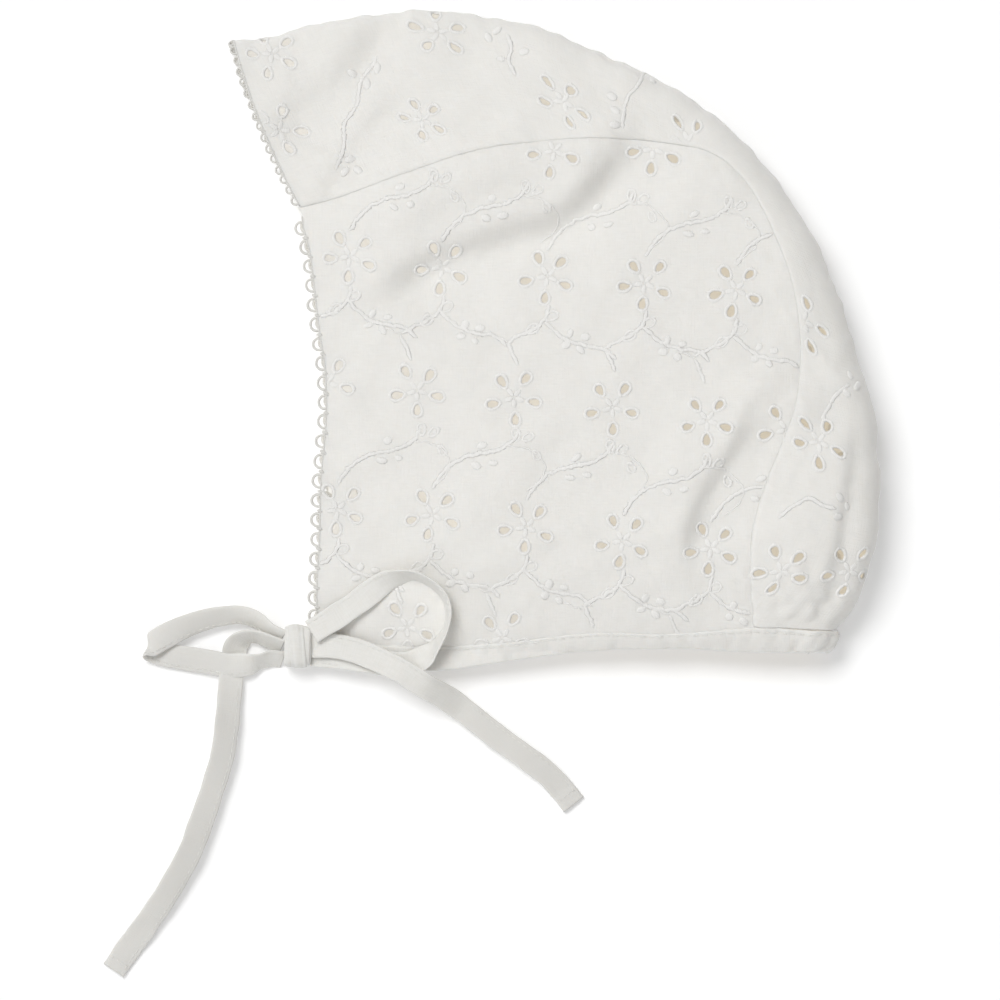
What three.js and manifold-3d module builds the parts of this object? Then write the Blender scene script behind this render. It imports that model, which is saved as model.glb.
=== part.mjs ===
// An infant's eyelet bonnet lying on its side: two side panels joined by a crown strip, a neck band, a looped
// edging round the face opening, and two ties in a bow. Millimetres, +Z up; +X runs to the nape, +Y to the crown.
// The origin is on the surface it lies on, under the middle of the bonnet.

import * as THREE from 'three';
import { mergeVertices } from 'three/addons/utils/BufferGeometryUtils.js';
import Module from 'manifold-3d';

const wasm = await Module();
wasm.setup();

// Driving sizes of the lying bonnet
const BACK_DEPTH = 26;         // thickness over both layers at the back of the head
const FRONT_SHARE = 0.34;      // share of that thickness left at the face edge
const NECK_SHARE = 0.5;        // share left at the neck
const CROWN_SHARE = 0.48;      // share left along the crown
const FACE_X = -70.7;          // where the thickness starts to grow from the face edge
const BACK_X = 91;             // the furthest back point
const NECK_Y = -86.5;
const CROWN_Y = 92.4;
const FULLEST = 0.38;          // height up the side, as a share, where it is thickest
const FOLD_LEVEL = 0.42;       // level of the outer fold, as a share of the local thickness
const FOLD_ROUND = 0.55;       // plan width of the rounding beside the fold, as a share of the thickness
const WALL = 1;                // cotton with its embroidery
const BAND_WALL = 1.7;         // the neck band is the same cotton folded over the edge
const GAP = 0.35;              // clearance between neighbouring pieces
const FAR_INSET = 1.8;         // the far face edge lies this much further in than the near one

// Crown strip: its seam and its outer fold, from the peak over the face to the nape
const STRIP = [
  { seamX: -71.3, seamY: 37.2, foldX: -90.0, foldY: 84.0 },
  { seamX: -59.5, seamY: 40.3, foldX: -78.5, foldY: 85.7 },
  { seamX: -41.3, seamY: 47.0, foldX: -59.5, foldY: 90.2 },
  { seamX: -20.9, seamY: 53.5, foldX: -35.7, foldY: 92.2 },
  { seamX: -1.3, seamY: 56.3, foldX: -11.9, foldY: 90.2 },
  { seamX: 16.7, seamY: 56.6, foldX: 13.3, foldY: 81.2 },
  { seamX: 34.3, seamY: 54.9, foldX: 35.1, foldY: 70.3 },
  { seamX: 44.9, seamY: 52.1, foldX: 52.8, foldY: 56.3 },
  { seamX: 54.5, seamY: 43.7, foldX: 65.1, foldY: 41.4 },
  { seamX: 61.7, seamY: 29.9, foldX: 75.5, foldY: 23.8 },
  { seamX: 66.8, seamY: 15.7, foldX: 82.2, foldY: 6.7 },
  { seamX: 69.0, seamY: -0.8, foldX: 85.8, foldY: -5.6 },
  { seamX: 67.9, seamY: -16.2, foldX: 89.5, foldY: -20.4 },
  { seamX: 64.3, seamY: -27.4, foldX: 90.9, foldY: -33.6 },
  { seamX: 59.5, seamY: -39.2, foldX: 91.1, foldY: -45.6 },
  { seamX: 55.6, seamY: -52.6, foldX: 89.7, foldY: -59.1 },
  { seamX: 55.0, seamY: -66.6, foldX: 85.8, foldY: -71.7 },
  { seamX: 55.9, seamY: -79.6, foldX: 79.1, foldY: -80.7 },
];
const FACE_BOW = 1.7;          // how far the strip's face edge bows out between seam and peak
const FACE_BOW_ROWS = 2;       // sections over which that bow fades
const CORNER_ROW = 8;          // section where the side panel turns its upper back corner

// Face edge of the side panel, from the neck up to the seam
const FACE_EDGE = [
  { x: -67.0, y: -83.7 },
  { x: -67.6, y: -69.4 },
  { x: -66.9, y: -55.4 },
  { x: -66.4, y: -38.6 },
  { x: -65.0, y: -21.8 },
  { x: -65.3, y: -7.8 },
  { x: -67.0, y: 3.4 },
  { x: -68.9, y: 20.2 },
  { x: -71.3, y: 37.2 },
];

// Neck band: its upper line, where it grips the panels, and its lower edge
const BAND = [
  { x: -67.0, top: -83.7, low: -90.7 },
  { x: -52.0, top: -84.6, low: -91.8 },
  { x: -32.0, top: -85.2, low: -92.0 },
  { x: -11.0, top: -83.8, low: -89.2 },
  { x: 10.0, top: -81.4, low: -86.4 },
  { x: 34.0, top: -81.5, low: -85.8 },
  { x: 55.9, top: -79.8, low: -86.6 },
  { x: 68.0, top: -80.5, low: -86.8 },
];
const NAPE_TOP = { x: 79.1, y: -80.9 };
const NAPE_LOW = { x: 76.4, y: -86.8 };
const BAND_CROWN = 0.5;        // how much the folded band swells along its middle

// Soft folds of the upper layer: a valley has a negative height
const FOLDS = [
  { x1: -44, y1: 86, x2: -66, y2: 58, width: 5, height: -1.5 },
  { x1: -34, y1: 72, x2: -64, y2: 43, width: 5.5, height: -2.2 },
  { x1: 29, y1: 51, x2: -9, y2: 26, width: 8, height: -3.4 },
  { x1: -9, y1: 26, x2: -46, y2: 5, width: 9, height: -2.6 },
  { x1: -57, y1: -38, x2: -31, y2: -38, width: 6, height: -1.2 },
  { x1: 59, y1: -11, x2: 43, y2: -46, width: 5, height: 2.2 },
  { x1: 52, y1: -27, x2: 39, y2: -60, width: 6, height: -3 },
  { x1: 85, y1: -18, x2: 79, y2: -56, width: 3.5, height: -3 },
  { x1: 79, y1: -56, x2: 70, y2: -81, width: 3.5, height: -2.6 },
  { x1: 68, y1: -7, x2: 78, y2: -8, width: 3.5, height: -1.8 },
  { x1: -70, y1: -87, x2: -60, y2: -85, width: 9, height: -1.2 },
];

// Eyelet flowers: middle and the direction of the first petal
const FLOWERS = [
  { x: 0.4, y: 53.2, turn: 118 },
  { x: 28.1, y: 53.8, turn: 118 },
  { x: -56.7, y: 23.8, turn: 118 },
  { x: -30.9, y: 20.7, turn: 118 },
  { x: -1.5, y: 18.2, turn: 118 },
  { x: 25.6, y: 16.2, turn: 118 },
  { x: 51.1, y: 14.3, turn: 118 },
  { x: -62.9, y: -11.5, turn: 126 },
  { x: -37.9, y: -13.7, turn: 126 },
  { x: -10.8, y: -15.7, turn: 126 },
  { x: 16.7, y: -18.5, turn: 126 },
  { x: 43.0, y: -22.1, turn: 126 },
  { x: 65.1, y: -24.6, turn: 126 },
  { x: -60.1, y: -47.0, turn: 118 },
  { x: -33.7, y: -48.4, turn: 118 },
  { x: -7.4, y: -51.8, turn: 118 },
  { x: 19.5, y: -55.7, turn: 118 },
  { x: 44.1, y: -57.7, turn: 118 },
  { x: -40.6, y: -79.8, turn: 126 },
  { x: -14.1, y: -82.8, turn: 126 },
  { x: -78.5, y: 80.6, turn: 110 },
  { x: -76.3, y: 59.1, turn: 140 },
  { x: -32.0, y: 86.5, turn: 160 },
  { x: -36.3, y: 61.9, turn: 118 },
  { x: 2.4, y: 67.2, turn: 126 },
  { x: 36.3, y: 55.7, turn: 118 },
  { x: 70.3, y: 5.0, turn: 60 },
  { x: 73.5, y: -28.6, turn: 95 },
  { x: 63.7, y: -64.1, turn: 126 },
  { x: 82.7, y: -64.1, turn: 118 },
];
const PETALS = 5;
const PETAL_REACH = 6.3;       // middle of a petal's hole from the middle of its flower
const PETAL_LONG = 3.6;
const PETAL_WIDE = 2.3;
const PETAL_POINTS = 6;
const PETAL_MARGIN = 2.5;      // least distance from a hole's middle to its panel's edge
const MOST_HOLES = 120;

// Edging of small loops along the face edge
const LOOP_PITCH = 5;
const LOOP_OUT = 1.3;
const EDGING_BASE = 0.6;
const EDGING_WALL = 0.7;

// The ties, as flat tape: middle line, compass direction of one edge from it, and how far that edge is tipped up
const TIE_WIDTH = 7;
const TIE_WALL = 1.2;
const LEFT_LOOP = [
  { x: -75.5, y: -82.9, z: 5.6, side: -100, rise: -50 },
  { x: -79.0, y: -80.9, z: 5.8, side: -118, rise: -52 },
  { x: -83.0, y: -77.9, z: 5.6, side: -120, rise: -48 },
  { x: -88.1, y: -76.6, z: 5.2, side: -98, rise: -42 },
  { x: -94.5, y: -77.2, z: 4.9, side: -84, rise: -36 },
  { x: -101.5, y: -79.3, z: 4.5, side: -76, rise: -24 },
  { x: -107.5, y: -82.0, z: 4.1, side: -86, rise: -10 },
  { x: -111.5, y: -84.3, z: 3.4, side: -100, rise: 0 },
  { x: -112.9, y: -85.4, z: 2.4, side: -104, rise: 0 },
  { x: -111.5, y: -86.4, z: 1.6, side: -102, rise: 0 },
  { x: -107.5, y: -87.8, z: 1.6, side: -98, rise: -4 },
  { x: -101.5, y: -88.8, z: 2.1, side: -92, rise: -12 },
  { x: -95.5, y: -89.7, z: 2.8, side: -98, rise: -14 },
  { x: -90.0, y: -90.6, z: 3.0, side: -100, rise: -12 },
  { x: -85.2, y: -90.2, z: 3.7, side: -86, rise: -26 },
  { x: -82.0, y: -89.3, z: 3.6, side: -78, rise: -50 },
  { x: -79.0, y: -88.6, z: 3.2, side: -84, rise: -48 },
  { x: -75.5, y: -89.0, z: 2.5, side: -90, rise: -50 },
];
const LEFT_TAIL = [
  { x: -75.5, y: -85.3, z: 4.8, side: -95, rise: -50 },
  { x: -79.4, y: -83.6, z: 4.9, side: -115, rise: -56 },
  { x: -83.3, y: -82.4, z: 4.4, side: -100, rise: -58 },
  { x: -86.5, y: -82.9, z: 3.5, side: -60, rise: -50 },
  { x: -88.6, y: -85.0, z: 1.8, side: -25, rise: -20 },
  { x: -89.2, y: -88.2, z: 0.75, side: -5, rise: 0 },
  { x: -89.9, y: -93.5, z: 0.65, side: -3, rise: 0 },
  { x: -90.9, y: -104.5, z: 0.65, side: -7, rise: 0 },
  { x: -92.3, y: -115.4, z: 0.65, side: -12, rise: 0 },
  { x: -95.3, y: -125.7, z: 0.65, side: -17, rise: 0 },
  { x: -98.0, y: -133.6, z: 0.65, side: -20, rise: 0 },
  { x: -101.8, y: -143.4, z: 0.65, side: -25, rise: 0 },
  { x: -107.8, y: -154.3, z: 0.65, side: -31, rise: 0 },
  { x: -113.7, y: -163.0, z: 0.65, side: -35, rise: 0 },
  { x: -118.6, y: -169.7, z: 0.65, side: -35, rise: 0 },
  { x: -122.9, y: -176.0, z: 0.65, side: -35, rise: 0 },
];
const RIGHT_LOOP = [
  { x: -67.4, y: -81.2, z: 8.9, side: 98, rise: 10 },
  { x: -64.2, y: -79.2, z: 9.6, side: 118, rise: 10 },
  { x: -60.9, y: -77.2, z: 9.6, side: 128, rise: 12 },
  { x: -54.5, y: -72.9, z: 10.4, side: 128, rise: 16 },
  { x: -49.7, y: -69.2, z: 11.9, side: 126, rise: 28 },
  { x: -45.5, y: -66.5, z: 13.6, side: 116, rise: 48 },
  { x: -39.9, y: -65.2, z: 15.0, side: 92, rise: 66 },
  { x: -35.4, y: -66.6, z: 15.4, side: 66, rise: 72 },
  { x: -31.8, y: -69.2, z: 15.4, side: 44, rise: 74 },
  { x: -29.8, y: -72.2, z: 15.1, side: 24, rise: 76 },
  { x: -29.0, y: -75.6, z: 14.6, side: 4, rise: 78 },
  { x: -29.3, y: -79.0, z: 14.0, side: -16, rise: 80 },
  { x: -30.7, y: -82.4, z: 13.3, side: -32, rise: 76 },
  { x: -32.8, y: -85.6, z: 12.3, side: -46, rise: 64 },
  { x: -35.7, y: -88.2, z: 10.4, side: -58, rise: 28 },
  { x: -39.9, y: -90.0, z: 8.7, side: -72, rise: -8 },
  { x: -46.0, y: -90.0, z: 7.8, side: -86, rise: -4 },
  { x: -55.0, y: -88.6, z: 6.9, side: -92, rise: 0 },
  { x: -67.4, y: -87.2, z: 5.2, side: -90, rise: 0 },
];
const RIGHT_TAIL = [
  { x: -67.4, y: -85.0, z: 6.8, side: 90, rise: 0 },
  { x: -62.0, y: -85.0, z: 7.8, side: 86, rise: 0 },
  { x: -55.0, y: -86.4, z: 8.8, side: 74, rise: 0 },
  { x: -47.5, y: -89.5, z: 10.1, side: 66, rise: 2 },
  { x: -42.0, y: -92.2, z: 10.9, side: 62, rise: 6 },
  { x: -36.0, y: -96.0, z: 9.8, side: 60, rise: 14 },
  { x: -31.0, y: -98.8, z: 6.4, side: 56, rise: 4 },
  { x: -26.1, y: -102.2, z: 3.1, side: 54, rise: 0 },
  { x: -21.0, y: -106.2, z: 1.1, side: 53, rise: 0 },
  { x: -15.5, y: -110.6, z: 0.65, side: 53, rise: 0 },
  { x: -8.5, y: -115.6, z: 0.65, side: 53, rise: 0 },
  { x: -2.1, y: -120.4, z: 0.65, side: 51, rise: 0 },
  { x: 2.5, y: -125.2, z: 0.65, side: 46, rise: 0 },
  { x: 6.0, y: -129.6, z: 0.65, side: 42, rise: 0 },
];

// The knot: one turn of tape drawn tight round the other strands
const KNOT = { x: -71.4, y: -85.2, wide: 7.2, long: 11.8, low: 0.3, high: 9.8, pinch: 0.9 };

const COTTON = { color: 0xf3f0e9, roughness: 0.9, metalness: 0 };
const TAPE = { color: 0xf1eee6, roughness: 0.85, metalness: 0 };

const clamp01 = (v) => Math.min(1, Math.max(0, v));
const ease = (v) => clamp01(v) ** 2 * (3 - 2 * clamp01(v));

// A smooth curve through the rows of a table, read at any share of a row
function through(points) {
  const curve = new THREE.CatmullRomCurve3(points, false, 'catmullrom');
  return (row) => curve.getPoint(clamp01(row / (points.length - 1)));
}

const seamAt = through(STRIP.map((s) => new THREE.Vector3(s.seamX, s.seamY, 0)));
const foldAt = through(STRIP.map((s) => new THREE.Vector3(s.foldX, s.foldY, 0)));
const faceAt = through(FACE_EDGE.map((p) => new THREE.Vector3(p.x, p.y, 0)));
const bandTopAt = through(BAND.map((b) => new THREE.Vector3(b.x, b.top, 0)));
const bandLowAt = through(BAND.map((b) => new THREE.Vector3(b.x, b.low, 0)));
const LAST_ROW = STRIP.length - 1;

// The outer fold as a fine line, run on past the peak and the nape
const FOLD_STEPS = 6;
const FOLD_LINE = [new THREE.Vector3(-150, 88, 0)];
for (let i = 0; i <= LAST_ROW * FOLD_STEPS; i += 1) {
  FOLD_LINE.push(foldAt(i / FOLD_STEPS));
}
FOLD_LINE.push(new THREE.Vector3(NAPE_LOW.x, NAPE_LOW.y, 0));
FOLD_LINE.push(new THREE.Vector3(NAPE_LOW.x - 12, NAPE_LOW.y - 30, 0));

function distanceToSegment(x, y, a, b) {
  const dx = b.x - a.x;
  const dy = b.y - a.y;
  const along = clamp01(((x - a.x) * dx + (y - a.y) * dy) / (dx * dx + dy * dy || 1));
  return Math.hypot(x - a.x - along * dx, y - a.y - along * dy);
}

function distanceToFold(x, y) {
  let best = Infinity;
  for (let i = 1; i < FOLD_LINE.length; i += 1) {
    best = Math.min(best, distanceToSegment(x, y, FOLD_LINE[i - 1], FOLD_LINE[i]));
  }
  return best;
}

// Thickness of the lying bonnet, over both layers, before its folds
function thicknessAt(x, y) {
  const back = clamp01((x - FACE_X) / (BACK_X - FACE_X));
  const along = FRONT_SHARE + (1 - FRONT_SHARE) * Math.sin((back * Math.PI) / 2) ** 0.9;
  const up = clamp01((y - NECK_Y) / (CROWN_Y - NECK_Y));
  const low = (FULLEST - up) / FULLEST;
  const high = (up - FULLEST) / (1 - FULLEST);
  const across = up < FULLEST ? 1 - (1 - NECK_SHARE) * low ** 2 : 1 - (1 - CROWN_SHARE) * high ** 2;
  return BACK_DEPTH * along * across;
}

// 0 on the outer fold, 1 where the layer has turned flat
function roundingAt(x, y) {
  const share = clamp01(distanceToFold(x, y) / (FOLD_ROUND * thicknessAt(x, y)));
  return Math.sqrt(1 - (1 - share) ** 2);
}

function foldsAt(x, y) {
  let sum = 0;
  for (const f of FOLDS) {
    const d = distanceToSegment(x, y, { x: f.x1, y: f.y1 }, { x: f.x2, y: f.y2 });
    sum += f.height * Math.exp(-((d / f.width) ** 2));
  }
  return sum;
}

// Outer face of the upper layer, and of the layer under it
function nearHeight(x, y) {
  const thickness = thicknessAt(x, y);
  const rounding = roundingAt(x, y);
  return thickness * (FOLD_LEVEL + (1 - FOLD_LEVEL) * rounding) + foldsAt(x, y) * rounding ** 2;
}

function farHeight(x, y) {
  return thicknessAt(x, y) * FOLD_LEVEL * (1 - roundingAt(x, y));
}

const onNear = (x, y) => new THREE.Vector3(x, y, nearHeight(x, y));
const onFar = (x, y) => new THREE.Vector3(x, y, farHeight(x, y));

function gridNormal(rows, i, j) {
  const up = rows[Math.min(i + 1, rows.length - 1)][j];
  const down = rows[Math.max(i - 1, 0)][j];
  const right = rows[i][Math.min(j + 1, rows[i].length - 1)];
  const left = rows[i][Math.max(j - 1, 0)];
  const a = new THREE.Vector3().subVectors(up, down);
  const b = new THREE.Vector3().subVectors(right, left);
  return a.cross(b).normalize();
}

function signedVolume(position, index) {
  const a = new THREE.Vector3();
  const b = new THREE.Vector3();
  const c = new THREE.Vector3();
  let sum = 0;
  for (let i = 0; i < index.length; i += 3) {
    a.fromArray(position, index[i] * 3);
    b.fromArray(position, index[i + 1] * 3);
    c.fromArray(position, index[i + 2] * 3);
    sum += a.dot(b.cross(c));
  }
  return sum;
}

function closedGeometry(position, index) {
  if (signedVolume(position, index) < 0) {
    for (let i = 0; i < index.length; i += 3) {
      [index[i + 1], index[i + 2]] = [index[i + 2], index[i + 1]];
    }
  }
  const geometry = new THREE.BufferGeometry();
  geometry.setAttribute('position', new THREE.Float32BufferAttribute(position, 3));
  geometry.setIndex(index);
  return geometry;
}

// A closed wall from a grid of points on its outer face; side says on which side of the grid the hollow lies
function wallFrom(rows, wall, side) {
  const high = rows.length;
  const wide = rows[0].length;
  const position = [];
  for (const depth of [0, wall * side]) {
    for (let i = 0; i < high; i += 1) {
      for (let j = 0; j < wide; j += 1) {
        const p = rows[i][j].clone();
        p.addScaledVector(gridNormal(rows, i, j), depth);
        p.z = Math.max(p.z, 0);
        position.push(p.x, p.y, p.z);
      }
    }
  }
  const at = (layer, i, j) => layer * high * wide + i * wide + j;
  const index = [];
  const quad = (a, b, c, d) => index.push(a, b, c, a, c, d);
  for (let i = 0; i + 1 < high; i += 1) {
    for (let j = 0; j + 1 < wide; j += 1) {
      quad(at(0, i, j), at(0, i + 1, j), at(0, i + 1, j + 1), at(0, i, j + 1));
      quad(at(1, i, j), at(1, i, j + 1), at(1, i + 1, j + 1), at(1, i + 1, j));
    }
    quad(at(0, i, 0), at(1, i, 0), at(1, i + 1, 0), at(0, i + 1, 0));
    quad(at(0, i + 1, wide - 1), at(1, i + 1, wide - 1), at(1, i, wide - 1), at(0, i, wide - 1));
  }
  for (let j = 0; j + 1 < wide; j += 1) {
    quad(at(0, 0, j + 1), at(1, 0, j + 1), at(1, 0, j), at(0, 0, j));
    quad(at(0, high - 1, j), at(1, high - 1, j), at(1, high - 1, j + 1), at(0, high - 1, j + 1));
  }
  return closedGeometry(position, index);
}

// A closed bar from rings of points, each ring going once round the section
function barFrom(rings) {
  const sides = rings[0].length;
  const position = rings.flat().flatMap((p) => [p.x, p.y, p.z]);
  const index = [];
  for (let i = 0; i + 1 < rings.length; i += 1) {
    for (let k = 0; k < sides; k += 1) {
      const a = i * sides + k;
      const b = i * sides + ((k + 1) % sides);
      index.push(a, a + sides, b + sides, a, b + sides, b);
    }
  }
  const end = (rings.length - 1) * sides;
  for (let k = 1; k + 1 < sides; k += 1) {
    index.push(0, k, k + 1);
    index.push(end, end + k + 1, end + k);
  }
  return closedGeometry(position, index);
}

function toManifold(geometry) {
  const bare = geometry.clone();
  bare.deleteAttribute('normal');
  bare.deleteAttribute('uv');
  const merged = mergeVertices(bare, 1e-5);
  const vertProperties = new Float32Array(merged.attributes.position.array);
  const triVerts = new Uint32Array(merged.index.array);
  return new wasm.Manifold(new wasm.Mesh({ numProp: 3, vertProperties, triVerts }));
}

function fromManifold(solid) {
  const mesh = solid.getMesh();
  const geometry = new THREE.BufferGeometry();
  geometry.setAttribute('position', new THREE.BufferAttribute(new Float32Array(mesh.vertProperties), 3));
  geometry.setIndex(new THREE.BufferAttribute(new Uint32Array(mesh.triVerts), 1));
  return geometry;
}

// A petal-shaped punch: narrow end towards the middle of the flower
function petalPunch(x, y, direction, low) {
  const shape = new THREE.Shape();
  for (let k = 0; k < PETAL_POINTS; k += 1) {
    const turn = (k / PETAL_POINTS) * 2 * Math.PI;
    const along = (Math.cos(turn) * PETAL_LONG) / 2;
    const across = ((Math.sin(turn) * PETAL_WIDE) / 2) * (1 + 0.3 * Math.cos(turn));
    if (k === 0) {
      shape.moveTo(along, across);
    } else {
      shape.lineTo(along, across);
    }
  }
  const punch = new THREE.ExtrudeGeometry(shape, { depth: BACK_DEPTH * 2, bevelEnabled: false });
  punch.rotateZ(direction);
  punch.translate(x, y, low);
  return toManifold(punch);
}

// Every petal as its middle and direction
const petals = FLOWERS.flatMap((flower) =>
  Array.from({ length: PETALS }, (_, k) => {
    const direction = THREE.MathUtils.degToRad(flower.turn - (360 / PETALS) * k);
    const x = flower.x + PETAL_REACH * Math.cos(direction);
    const y = flower.y + PETAL_REACH * Math.sin(direction);
    return { x, y, direction };
  })
);

let holesCut = 0;

// Cuts the petals whose middles lie well inside an outline, through the upper layer alone
function pierce(geometry, outline) {
  let solid = toManifold(geometry);
  for (const petal of petals) {
    if (holesCut < MOST_HOLES && insideBy(petal, outline, PETAL_MARGIN)) {
      const low = nearHeight(petal.x, petal.y) - 3.5 * WALL;
      solid = solid.subtract(petalPunch(petal.x, petal.y, petal.direction, low));
      holesCut += 1;
    }
  }
  return fromManifold(solid);
}

function insideBy(point, outline, margin) {
  let inside = false;
  let nearest = Infinity;
  for (let i = 0; i < outline.length; i += 1) {
    const a = outline[i];
    const b = outline[(i + 1) % outline.length];
    if (a.y > point.y !== b.y > point.y) {
      const crossX = a.x + ((point.y - a.y) / (b.y - a.y)) * (b.x - a.x);
      if (point.x < crossX) {
        inside = !inside;
      }
    }
    nearest = Math.min(nearest, distanceToSegment(point.x, point.y, a, b));
  }
  return inside && nearest > margin;
}

// The strip's seam edge or the panel's: the same line, half the gap to either side
function seamEdge(row, side) {
  const seam = seamAt(row);
  const inward = seam.clone().sub(foldAt(row)).normalize();
  return seam.addScaledVector(inward, (side * GAP) / 2);
}

const farInsetAt = (row) => FAR_INSET * (1 - ease(row / 3));

const FAR_SEAM_GAP = 3;        // the coarser far panel keeps this much more clear of the seam, in half gaps

// A side panel blended between its four edges in plan
function panelGrid(rows, columns, place, insetAt, side) {
  const left = (t) => faceAt((1 - t) * (FACE_EDGE.length - 1));
  const right = (t) => seamEdge(CORNER_ROW + t * (LAST_ROW - CORNER_ROW), side);
  const top = (s) => seamEdge(s * CORNER_ROW, side);
  const bottom = (s) => bandTopAt(s * (BAND.length - 2)).add(new THREE.Vector3(0, GAP / 2, 0));
  const grid = [];
  for (let i = 0; i <= rows; i += 1) {
    const t = i / rows;
    const row = [];
    for (let j = 0; j <= columns; j += 1) {
      const s = j / columns;
      const p = new THREE.Vector3();
      p.addScaledVector(left(t), 1 - s).addScaledVector(right(t), s);
      p.addScaledVector(top(s), 1 - t).addScaledVector(bottom(s), t);
      p.addScaledVector(top(0), -(1 - s) * (1 - t)).addScaledVector(top(1), -s * (1 - t));
      p.addScaledVector(bottom(0), -(1 - s) * t).addScaledVector(bottom(1), -s * t);
      row.push(place(p.x + insetAt(s * CORNER_ROW), p.y));
    }
    grid.push(row);
  }
  return grid;
}

const outlineOf = (grid) => [
  ...grid[0],
  ...grid.map((row) => row[row.length - 1]),
  ...grid[grid.length - 1].slice().reverse(),
  ...grid.map((row) => row[0]).reverse(),
];

function nearSidePanel() {
  const grid = panelGrid((LAST_ROW - CORNER_ROW) * 2, CORNER_ROW * 2, onNear, () => 0, 1);
  return pierce(wallFrom(grid, WALL, -1), outlineOf(grid));
}

function farSidePanel() {
  return wallFrom(panelGrid(LAST_ROW - CORNER_ROW, CORNER_ROW, onFar, farInsetAt, FAR_SEAM_GAP), WALL, 1);
}

// Plan points of one section of the strip, from its outer fold to its seam
const ROUND_STEPS = 4;
const FLAT_STEPS = 3;

function stripSection(row, inset) {
  const fold = foldAt(row);
  const seam = seamEdge(row, -1);
  seam.x += inset;
  const length = fold.distanceTo(seam);
  const round = Math.min(FOLD_ROUND * thicknessAt(fold.x, fold.y), length * 0.9);
  const bow = FACE_BOW * (1 - ease(row / FACE_BOW_ROWS));
  const points = [];
  for (let k = 0; k <= ROUND_STEPS + FLAT_STEPS; k += 1) {
    const turn = (Math.min(k, ROUND_STEPS) / ROUND_STEPS) * (Math.PI / 2);
    const flat = Math.max(k - ROUND_STEPS, 0) / FLAT_STEPS;
    const along = (round * (1 - Math.cos(turn)) + (length - round) * flat) / length;
    const p = fold.clone().lerp(seam, along);
    p.x -= bow * 4 * along * (1 - along);
    points.push(p);
  }
  return points;
}

const STRIP_STEPS = 2;

function stripGrid() {
  const grid = [];
  for (let i = 0; i <= LAST_ROW * STRIP_STEPS; i += 1) {
    const row = i / STRIP_STEPS;
    const near = stripSection(row, 0).map((p) => onNear(p.x, p.y));
    const far = stripSection(row, farInsetAt(row)).map((p) => onFar(p.x, p.y));
    grid.push([...near.reverse(), ...far.slice(1)]);
  }
  return grid;
}

function crownStrip() {
  const grid = stripGrid();
  const middle = ROUND_STEPS + FLAT_STEPS;
  const outline = outlineOf(grid.map((row) => row.slice(0, middle + 1)));
  return pierce(wallFrom(grid, WALL, -1), outline);
}

// The neck band runs along the near side, round the nape and back along the far side
const BAND_STEPS = 3;
const NAPE_STEPS = 4;
const BAND_ACROSS = 3;

function bandSection(row, turn) {
  const legs = BAND.length - 1;
  const top = bandTopAt(Math.min(row, legs));
  const low = bandLowAt(Math.min(row, legs));
  const share = Math.sin(turn);
  top.lerp(new THREE.Vector3(NAPE_TOP.x, NAPE_TOP.y, 0), share);
  low.lerp(new THREE.Vector3(NAPE_LOW.x, NAPE_LOW.y, 0), share);
  top.y -= GAP;
  return Array.from({ length: BAND_ACROSS + 1 }, (_, k) => top.clone().lerp(low, k / BAND_ACROSS));
}

function neckBand() {
  const legs = BAND.length - 1;
  const stations = [];
  for (let i = 0; i <= legs * BAND_STEPS; i += 1) {
    stations.push({ row: i / BAND_STEPS, turn: 0 });
  }
  for (let i = 1; i <= NAPE_STEPS; i += 1) {
    stations.push({ row: legs, turn: ((i / NAPE_STEPS) * Math.PI) / 2 });
  }
  const swell = (k) => BAND_CROWN * Math.sin((k / BAND_ACROSS) * Math.PI) - BAND_CROWN * (k / BAND_ACROSS);
  const near = stations.map((s) =>
    bandSection(s.row, s.turn).map((p, k) => {
      const q = onNear(p.x, p.y);
      q.z += swell(k) * roundingAt(p.x, p.y);
      return q;
    })
  );
  const far = stations.map((s) =>
    bandSection(s.row, s.turn).map((p) => {
      const inset = FAR_INSET * (1 - ease((p.x - BAND[0].x) / 20));
      return onFar(p.x + inset, p.y);
    })
  );
  return wallFrom([...near, ...far.reverse().slice(1)], BAND_WALL, 1);
}

// Line of the face edge from the neck to the peak, in steps of equal length
function faceLine(inset) {
  const points = [];
  const rows = FACE_EDGE.length - 1;
  for (let i = 4; i <= rows * 8; i += 1) {
    const p = faceAt(i / 8);
    p.x += inset;
    points.push(p);
  }
  const section = stripSection(0, inset).reverse();
  return [...points, ...section.slice(1)];
}

function alongLine(points, step) {
  const curve = new THREE.CurvePath();
  for (let i = 1; i < points.length; i += 1) {
    if (points[i].distanceTo(points[i - 1]) > 1e-6) {
      curve.add(new THREE.LineCurve3(points[i - 1], points[i]));
    }
  }
  const count = Math.round(curve.getLength() / step);
  return Array.from({ length: count + 1 }, (_, i) => curve.getPointAt(i / count));
}

function edgingLeg(inset, place, spare) {
  const line = alongLine(faceLine(inset), LOOP_PITCH / 2).slice(0, -spare);
  return line.map((p, i) => {
    const reach = i % 2 === 1 ? LOOP_OUT : EDGING_BASE;
    return [p.x - GAP, p.x - GAP - reach].map((x) => place(x, p.y));
  });
}

function loopEdging(inset, place, side, spare) {
  return wallFrom(edgingLeg(inset, place, spare), EDGING_WALL, side);
}

// A flat tape along a table of points, each of its ends by the knot cut square to the knot
const TAPE_STEPS = 2;
const TAPE_SECTION = [[-0.5, 0], [-0.42, -0.5], [0.42, -0.5]];

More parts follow.
